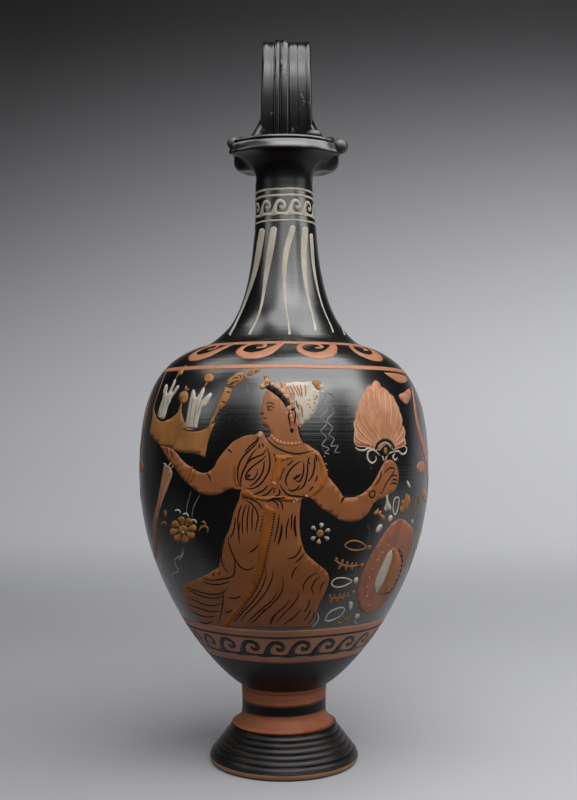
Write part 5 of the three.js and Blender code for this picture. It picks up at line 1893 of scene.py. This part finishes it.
        faint = Brush(outline)
        faint.lines(HEAD.lines(
            "1225,215 1260,260 1225,310 1275,400 1205,480 1265,540 1210,610 1265,680 1220,750 1290,790"
            " 1250,830 1290,840/"
            "1265,220 1340,270 1285,340 1335,420 1270,510 1325,580 1290,650 1340,690 1310,760 1380,760"
            " 1345,820 1395,825"), 0.6, 0.09, 0.04, 0.3)
        faint.lines(LEFT.lines("410,1050 385,1130 372,1200 378,1250/480,1080 440,1150 420,1210 415,1265"), 0.5,
                    0.1, 0.04)
        faint.lines(LEFT.lines(
            "205,250 196,320 184,390 172,450/232,250 222,320 208,390/262,240 240,300 222,350/"
            "425,290 412,370 398,450 386,530/462,320 448,400 436,470 425,540/500,300 478,370 460,430"), 0.5, 0.2, 0.12)
        faint.lay("faint_touches", tools.faint, "added_white")

        ink = tools.brushes["ink"]
        for shape in RIGHT.lines(
            "522,552! 535,515 565,488 600,480 635,495 660,535 664,550! 640,548! 625,515 600,502 572,508"
            " 548,535 545,556!"):
            ink.areas([shape], lift=0.2)
        ink.areas([RIGHT("570,565 592,535 615,545 628,575 612,600 590,606 575,592")], lift=0.16)
        ink.lines(RIGHT.lines("690,1248 705,1285 716,1335 704,1400 672,1480 630,1550 590,1570"), 1.5, 0.2, 0.1)
        ink.lines(LEFT.lines("130,450 150,472 180,486 215,478/345,548 380,562 430,566 500,552 555,525/"
                             "690,250 725,262/655,330 690,345/628,395 655,405"), 0.7, 0.18, 0.1)
        ink.lines(LEFT.lines("700,200 730,190 745,165/725,205 760,175 800,165/740,150 770,140 790,150/"
                             "790,120 810,135 800,155/820,115 835,140 815,160/880,105 905,92/915,100 940,80"), 0.6,
                  0.2, 0.1)
        ink.lines(HEAD.lines("1165,255 1168,285/700,112 690,165/960,300 975,380"), 0.6, 0.22, 0.12)
        ink.lay("drawn_lines", tools.ink, "black_gloss")

        ochre.lines(HEAD.lines(
            "895,150 930,210 950,270/925,140 960,200 985,262/962,150 990,200 1005,262/1000,140 1015,200 1020,275/"
            "1048,140 1056,200 1055,262/1005,340 1020,400 1025,480/985,330 990,400"), 0.9, 0.17, 0.1)
        ochre.dabs(HEAD("1092,300 1102,372 1142,330 1122,400 1085,345 1150,290"), 0.6, 0.2)
        ochre.areas([RIGHT("640,1250! 665,1245! 690,1290 694,1345 680,1400 645,1480 605,1545 565,1572 548,1560!"
                          " 585,1510 620,1430 645,1350 652,1300")], lift=0.15)
        ochre.dabs(RIGHT("598,565"), 1.3, 0.3, squeeze=1.5)
        ochre.lay("ochre_finery", tools.ochre, "added_ochre")
        return {"FINISHED"}


class JUG_OT_palmettes(bpy.types.Operator):
    """Paints the palmettes and tendrils under the handle, with the leaves that reach round to the front"""
    bl_idname = "jug.palmettes"
    bl_label = "Palmettes"

    def execute(self, context):
        tools = workshop(context)
        outline = tools.outline
        behind = math.pi * outline.belly / MM
        clay = Brush(outline)
        white = tools.brushes["white"]

        def fan(centre, aim, count, spread, reach, side_reach):
            """Leaves round a heart, longest in the middle, with tips that bend outwards."""
            inner = 0.17 * reach
            for k in range(count):
                lean = 2 * k / (count - 1) - 1
                angle = math.radians(aim - lean * spread)
                way, across = (math.cos(angle), math.sin(angle)), (math.sin(angle), -math.cos(angle))
                far = reach + (side_reach - reach) * abs(lean) ** 1.3
                bend = lean * 0.13 * far
                line = [(centre[0] + way[0] * (inner + (far - inner) * t) + across[0] * bend * t * t,
                         centre[1] + way[1] * (inner + (far - inner) * t) + across[1] * bend * t * t)
                        for t in (0, 0.35, 0.7, 0.94)]
                wide = 0.5 * far * math.radians(spread) * 2 / (count - 1) + 1.4
                yield brush_shape(line, [0.7, 0.26 * wide, 0.5 * wide, 0.76 * wide, wide, wide, 0.72 * wide], 1.0)

        def heart(centre, aim, radius):
            turn = math.radians(aim - 90)
            cos, sin = math.cos(turn), math.sin(turn)
            ring = [(radius * math.cos(a), radius * 1.25 * math.sin(a)) for a in np.linspace(0, math.pi, 12)]
            return np.array([(centre[0] + x * cos - y * sin, centre[1] + x * sin + y * cos) for x, y in ring])

        def laid(shape, side):
            shape = np.asarray(shape, float)
            return np.stack([behind + side * shape[:, 0], shape[:, 1]], axis=1)

        middle = list(fan((0, 80), 90, 13, 104, 84, 40)) + [heart((0, 79), 90, 9.5)]
        clay.slip.patch([laid(shape, 1) for shape in middle], spacing=3.2)
        for side, reach in ((-1, 1.0), (1, 0.92)):
            def at(text):
                return [(float(x) * reach, float(y)) for x, y in (pair.split(",") for pair in text.split())]

            shapes = [
                brush_shape(at("1,57 28,55 62,63 98,84 126,112 145,138 155,151 157,160 154,169 149,176"),
                            [3.2, 3.4, 3.6, 3.8, 4.2, 4.6, 5.6, 6.6, 5.0, 1.6], 1.2),
                brush_shape(at("1,69 12,64 24,66 29,74 25,82 17,81 15,75 19,73"), [3.6, 3.4, 3.2, 3, 2.8, 2.6], 0.8),
                brush_shape(at("34,55 58,66 80,84 88,98 88,107"), [3.0, 3.2, 3.2, 3.0, 2.6], 1.0),
                brush_shape(at("88,104 98,101 106,107 104,115 97,115 97,110"), [2.6, 2.6, 2.4, 2.2, 2.0], 0.8),
                brush_shape(at("88,104 78,101 70,107 72,115 79,115 79,110"), [2.6, 2.6, 2.4, 2.2, 2.0], 0.8),
                brush_shape(at("112,98 118,84 134,78 146,86 145,98 136,101 131,94 136,90"),
                            [3.4, 3.2, 3.0, 2.8, 2.6, 2.4, 2.2], 1.0),
                brush_shape(at("66,64 76,58 88,60"), [2.2, 5.0, 6.0], 0.8),
                brush_shape(at("134,124 142,118 150,120"), [2.0, 4.6, 5.4], 0.8),
                brush_shape(at("112,150 120,160 118,172"), [2.0, 5.4, 7.0], 0.8),
                heart((88 * reach, 113), 84, 6.0),
            ] + list(fan((88 * reach, 113), 84, 9, 98, 50, 27))
            for shape in shapes:
                clay.slip.patch([laid(shape, side)], spacing=3.2)
            clay.slip.dot(behind + side * 156 * reach, 134, 6.6, 0.1, squeeze=0.5, sides=20)
            clay.slip.dot(behind + side * 138 * reach, 168, 4.2, 0.1, squeeze=0.8, sides=18)
            for x, y in ((25, 75), (100, 109), (76, 109), (137, 94)):
                white.slip.dot(behind + side * x * reach, y, 1.5, 0.14)
            white.slip.stroke(laid(smooth_line(at("4,50.5 30,50 62,56 84,66")), side), 0.8, 0.12, 0.05)
        clay.areas([RIGHT("588,18! 640,20 700,30 745,50! 752,72 735,88 700,90 665,72 630,50")])
        clay.areas([RIGHT("765,126! 778,160 770,205 745,240 720,222 700,200 696,172 725,158")])
        clay.areas([LEFT("190,848! 235,850! 258,900 228,1010 188,1110 162,1190 140,1290 134,1400 131,1590!"
                         " 110,1590! 104,1450 102,1300 116,1220 132,1160 160,1020")])
        clay.lay("back_palmettes", tools.clay, "reserved_clay")
        ring = [(5.2 * math.cos(a), 80.5 + 4.2 * math.sin(a)) for a in np.linspace(0.3, math.pi - 0.3, 9)]
        white.slip.stroke(laid(smooth_line(ring), 1), 0.9, 0.2, 0.08)
        white.lay("white_touches", tools.white, "added_white")
        return {"FINISHED"}


def backdrop_finish(colours):
    """A pale floor and backdrop with painted light and shade in their colour. The backdrop is painted dark towards
    its top and glows a little for the camera and in reflections, and the right side is painted lighter. Where the
    painted side's view doesn't reach, in front and far to the left, the floor is painted dark for every ray but the
    camera's, and far off it meets the room's grey."""
    finish = Finish("backdrop")
    x, y, z = finish.axes()
    path = finish.node("ShaderNodeLightPath")
    direct = Value(finish, path.outputs["Is Camera Ray"])
    depth = y.within(-0.1, 9.0) + 0.583
    across = x * depth ** -1.0
    # Painted light and shade on the backdrop: lighter to the right, darker to the left, and painted dark towards the
    # top
    painted_side_light = (across * (0.6 + z * 1.5)).within(-0.5, 0.5) + 1.0
    rise = 1.0 - z.ramp(0.15, 1.15) * 0.95
    # Painted shade on the floor in front and far to the left, for every ray but the camera's
    front = 1.0 - (0.0 - y).ramp(0.07, 0.13) * 0.96
    left = 1.0 - (0.0 - across).ramp(0.27, 0.6) * 0.5
    painted_floor_shade = front * left
    shade = painted_side_light * rise * (painted_floor_shade + (1.0 - painted_floor_shade) * direct)
    black = (0.0, 0.0, 0.0, 1.0)
    tone = finish.mix(shade * 0.5, black, rgba([c * 2 for c in colours.floor]))
    seen = sum((Value(finish, path.outputs[name]) for name in ("Is Glossy Ray", "Is Transmission Ray")),
               direct).clamp()
    glow = finish.mix(shade * y.ramp(0.3, 1.2) * seen * 0.5, black, rgba([c * 1.96 for c in colours.floor]))
    apart = (across * across).ramp(0.09, 0.5)
    beside = apart + (0.0 - y).ramp(0.1, 0.7) * (1.0 - apart)
    # Far off, the camera sees a painted glow of the room's grey instead of the floor
    away = beside * (x * x + y * y).ramp(0.2, 4.0) * direct
    tone = finish.mix(away, tone, black)
    glow = finish.mix(away, glow, rgba([c * ROOM_SEEN for c in ROOM_GREY]))
    return finish.shine(tone, 0.9, finish.noise(40.0), 0.00001, **{"Emission Color": glow, "Emission Strength": 1.0})


ROOM_GREY = (0.80, 0.84, 0.90)
ROOM_LIGHT, ROOM_SEEN = 0.03, 0.22
LIT_SPOT = Vector((0, 0, 0.25))


def soft_lamp(name, azimuth, elevation, distance, spread, strength):
    """A rectangular lamp seen from the jug at an azimuth (from the front, to the right) and an elevation, in
    degrees. Its spread is the angle it fills, across and up, and its strength the brightness of its face."""
    turn, rise = math.radians(azimuth), math.radians(elevation)
    way = Vector((math.cos(rise) * math.sin(turn), -math.cos(rise) * math.cos(turn), math.sin(rise)))
    lamp = bpy.data.lights.new(name, "AREA")
    lamp.shape = "RECTANGLE"
    lamp.size, lamp.size_y = (2 * distance * math.tan(math.radians(angle / 2)) for angle in spread)
    lamp.energy = strength * math.pi * lamp.size * lamp.size_y
    holder = bpy.data.objects.new(name, lamp)
    bpy.context.scene.collection.objects.link(holder)
    holder.location = LIT_SPOT + way * distance
    holder.rotation_euler = (-way).to_track_quat("-Z", "Y").to_euler()


class JUG_OT_stage(bpy.types.Operator):
    """Lays the floor with its backdrop, and places the camera and the soft lamps"""
    bl_idname = "jug.stage"
    bl_label = "Stage"

    def execute(self, context):
        tools = workshop(context)
        scene = context.scene
        depth = [(-2.5, 0.0), (1.1, 0.0)]
        bend = [(1.1 + 0.7 * math.sin(a), 0.7 - 0.7 * math.cos(a)) for a in np.linspace(0, math.pi / 2, 24)[1:]]
        line = depth + bend + [(1.8, 3.0)]
        points, faces = [], []
        for x in (-3.0, 3.0):
            points += [(x, y, z) for y, z in line]
        count = len(line)
        for k in range(count - 1):
            faces.append((k, k + count, k + count + 1, k + 1))
        floor = mesh_object("floor", points, faces, backdrop_finish(tools.colours))
        floor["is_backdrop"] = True

        camera = bpy.data.cameras.new("camera")
        camera.sensor_fit = "VERTICAL"
        camera.sensor_height = 36.0
        camera.lens = 36.0 * 1075 / 800
        camera.shift_y = 25 / 800
        holder = bpy.data.objects.new("camera", camera)
        scene.collection.objects.link(holder)
        holder.location = (EYE[0] * MM, EYE[1] * MM, EYE[2] * MM)
        holder.rotation_euler = (math.radians(90), 0, 0)
        scene.camera = holder

        soft_lamp("front low", 10, 23, 1.45, (52, 16), 2.6)
        soft_lamp("front", 9, 41, 1.45, (52, 20), 3.0)
        soft_lamp("front right", 52, 34, 0.75, (40, 22), 1.7)
        soft_lamp("front left", -40, 34, 0.75, (40, 20), 1.3)
        soft_lamp("side", 74, 22, 1.3, (30, 24), 3.2)
        soft_lamp("left", -68, 20, 1.1, (20, 14), 2.3)
        soft_lamp("left high", -104, 57, 1.2, (30, 22), 2.3)
        soft_lamp("top", 37, 68, 1.06, (72, 56), 4.1)

        world = bpy.data.worlds.new("room")
        scene.world = world
        world.use_nodes = True
        nodes, links = world.node_tree.nodes, world.node_tree.links
        nodes.clear()
        path = nodes.new("ShaderNodeLightPath")
        strength = nodes.new("ShaderNodeMapRange")
        strength.inputs["To Min"].default_value, strength.inputs["To Max"].default_value = ROOM_LIGHT, ROOM_SEEN
        light = nodes.new("ShaderNodeBackground")
        light.inputs[0].default_value = rgba(ROOM_GREY)
        exit_node = nodes.new("ShaderNodeOutputWorld")
        links.new(path.outputs["Is Camera Ray"], strength.inputs["Value"])
        links.new(strength.outputs[0], light.inputs[1])
        links.new(light.outputs[0], exit_node.inputs[0])
        scene.view_settings.view_transform = "Standard"
        return {"FINISHED"}


class JUG_PT_panel(bpy.types.Panel):
    """The jug's sizes, colours and steps"""
    bl_idname = "JUG_PT_panel"
    bl_label = "Wine Jug"
    bl_space_type = "VIEW_3D"
    bl_region_type = "UI"
    bl_category = "Jug"

    def draw(self, context):
        for group in (context.scene.jug_sizes, context.scene.jug_colours):
            box = self.layout.box()
            for title in group.bl_rna.properties.keys():
                if title not in ("rna_type", "name"):
                    box.prop(group, title)
        for step in STEPS:
            self.layout.operator(step.bl_idname)


STEPS = (
    JUG_OT_stage, JUG_OT_foot, JUG_OT_body, JUG_OT_mouth, JUG_OT_handle, JUG_OT_arms,
    JUG_OT_friezes, JUG_OT_figure, JUG_OT_finery, JUG_OT_palmettes,
)
CLASSES = (JugSizes, JugColours, *STEPS, JUG_PT_panel)


def register():
    for kind in CLASSES:
        bpy.utils.register_class(kind)
    bpy.types.Scene.jug_sizes = bpy.props.PointerProperty(type=JugSizes)
    bpy.types.Scene.jug_colours = bpy.props.PointerProperty(type=JugColours)


def unregister():
    del bpy.types.Scene.jug_colours
    del bpy.types.Scene.jug_sizes
    for kind in reversed(CLASSES):
        bpy.utils.unregister_class(kind)


def plain(box):
    return [[float(value) for value in corner] for corner in box]


def main():
    before = plain(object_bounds())
    register()
    for step in STEPS:
        group, action = step.bl_idname.split(".")
        getattr(getattr(bpy.ops, group), action)()
    {"cad": before, "visual": plain(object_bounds())}


if __name__ == "__main__":
    main()
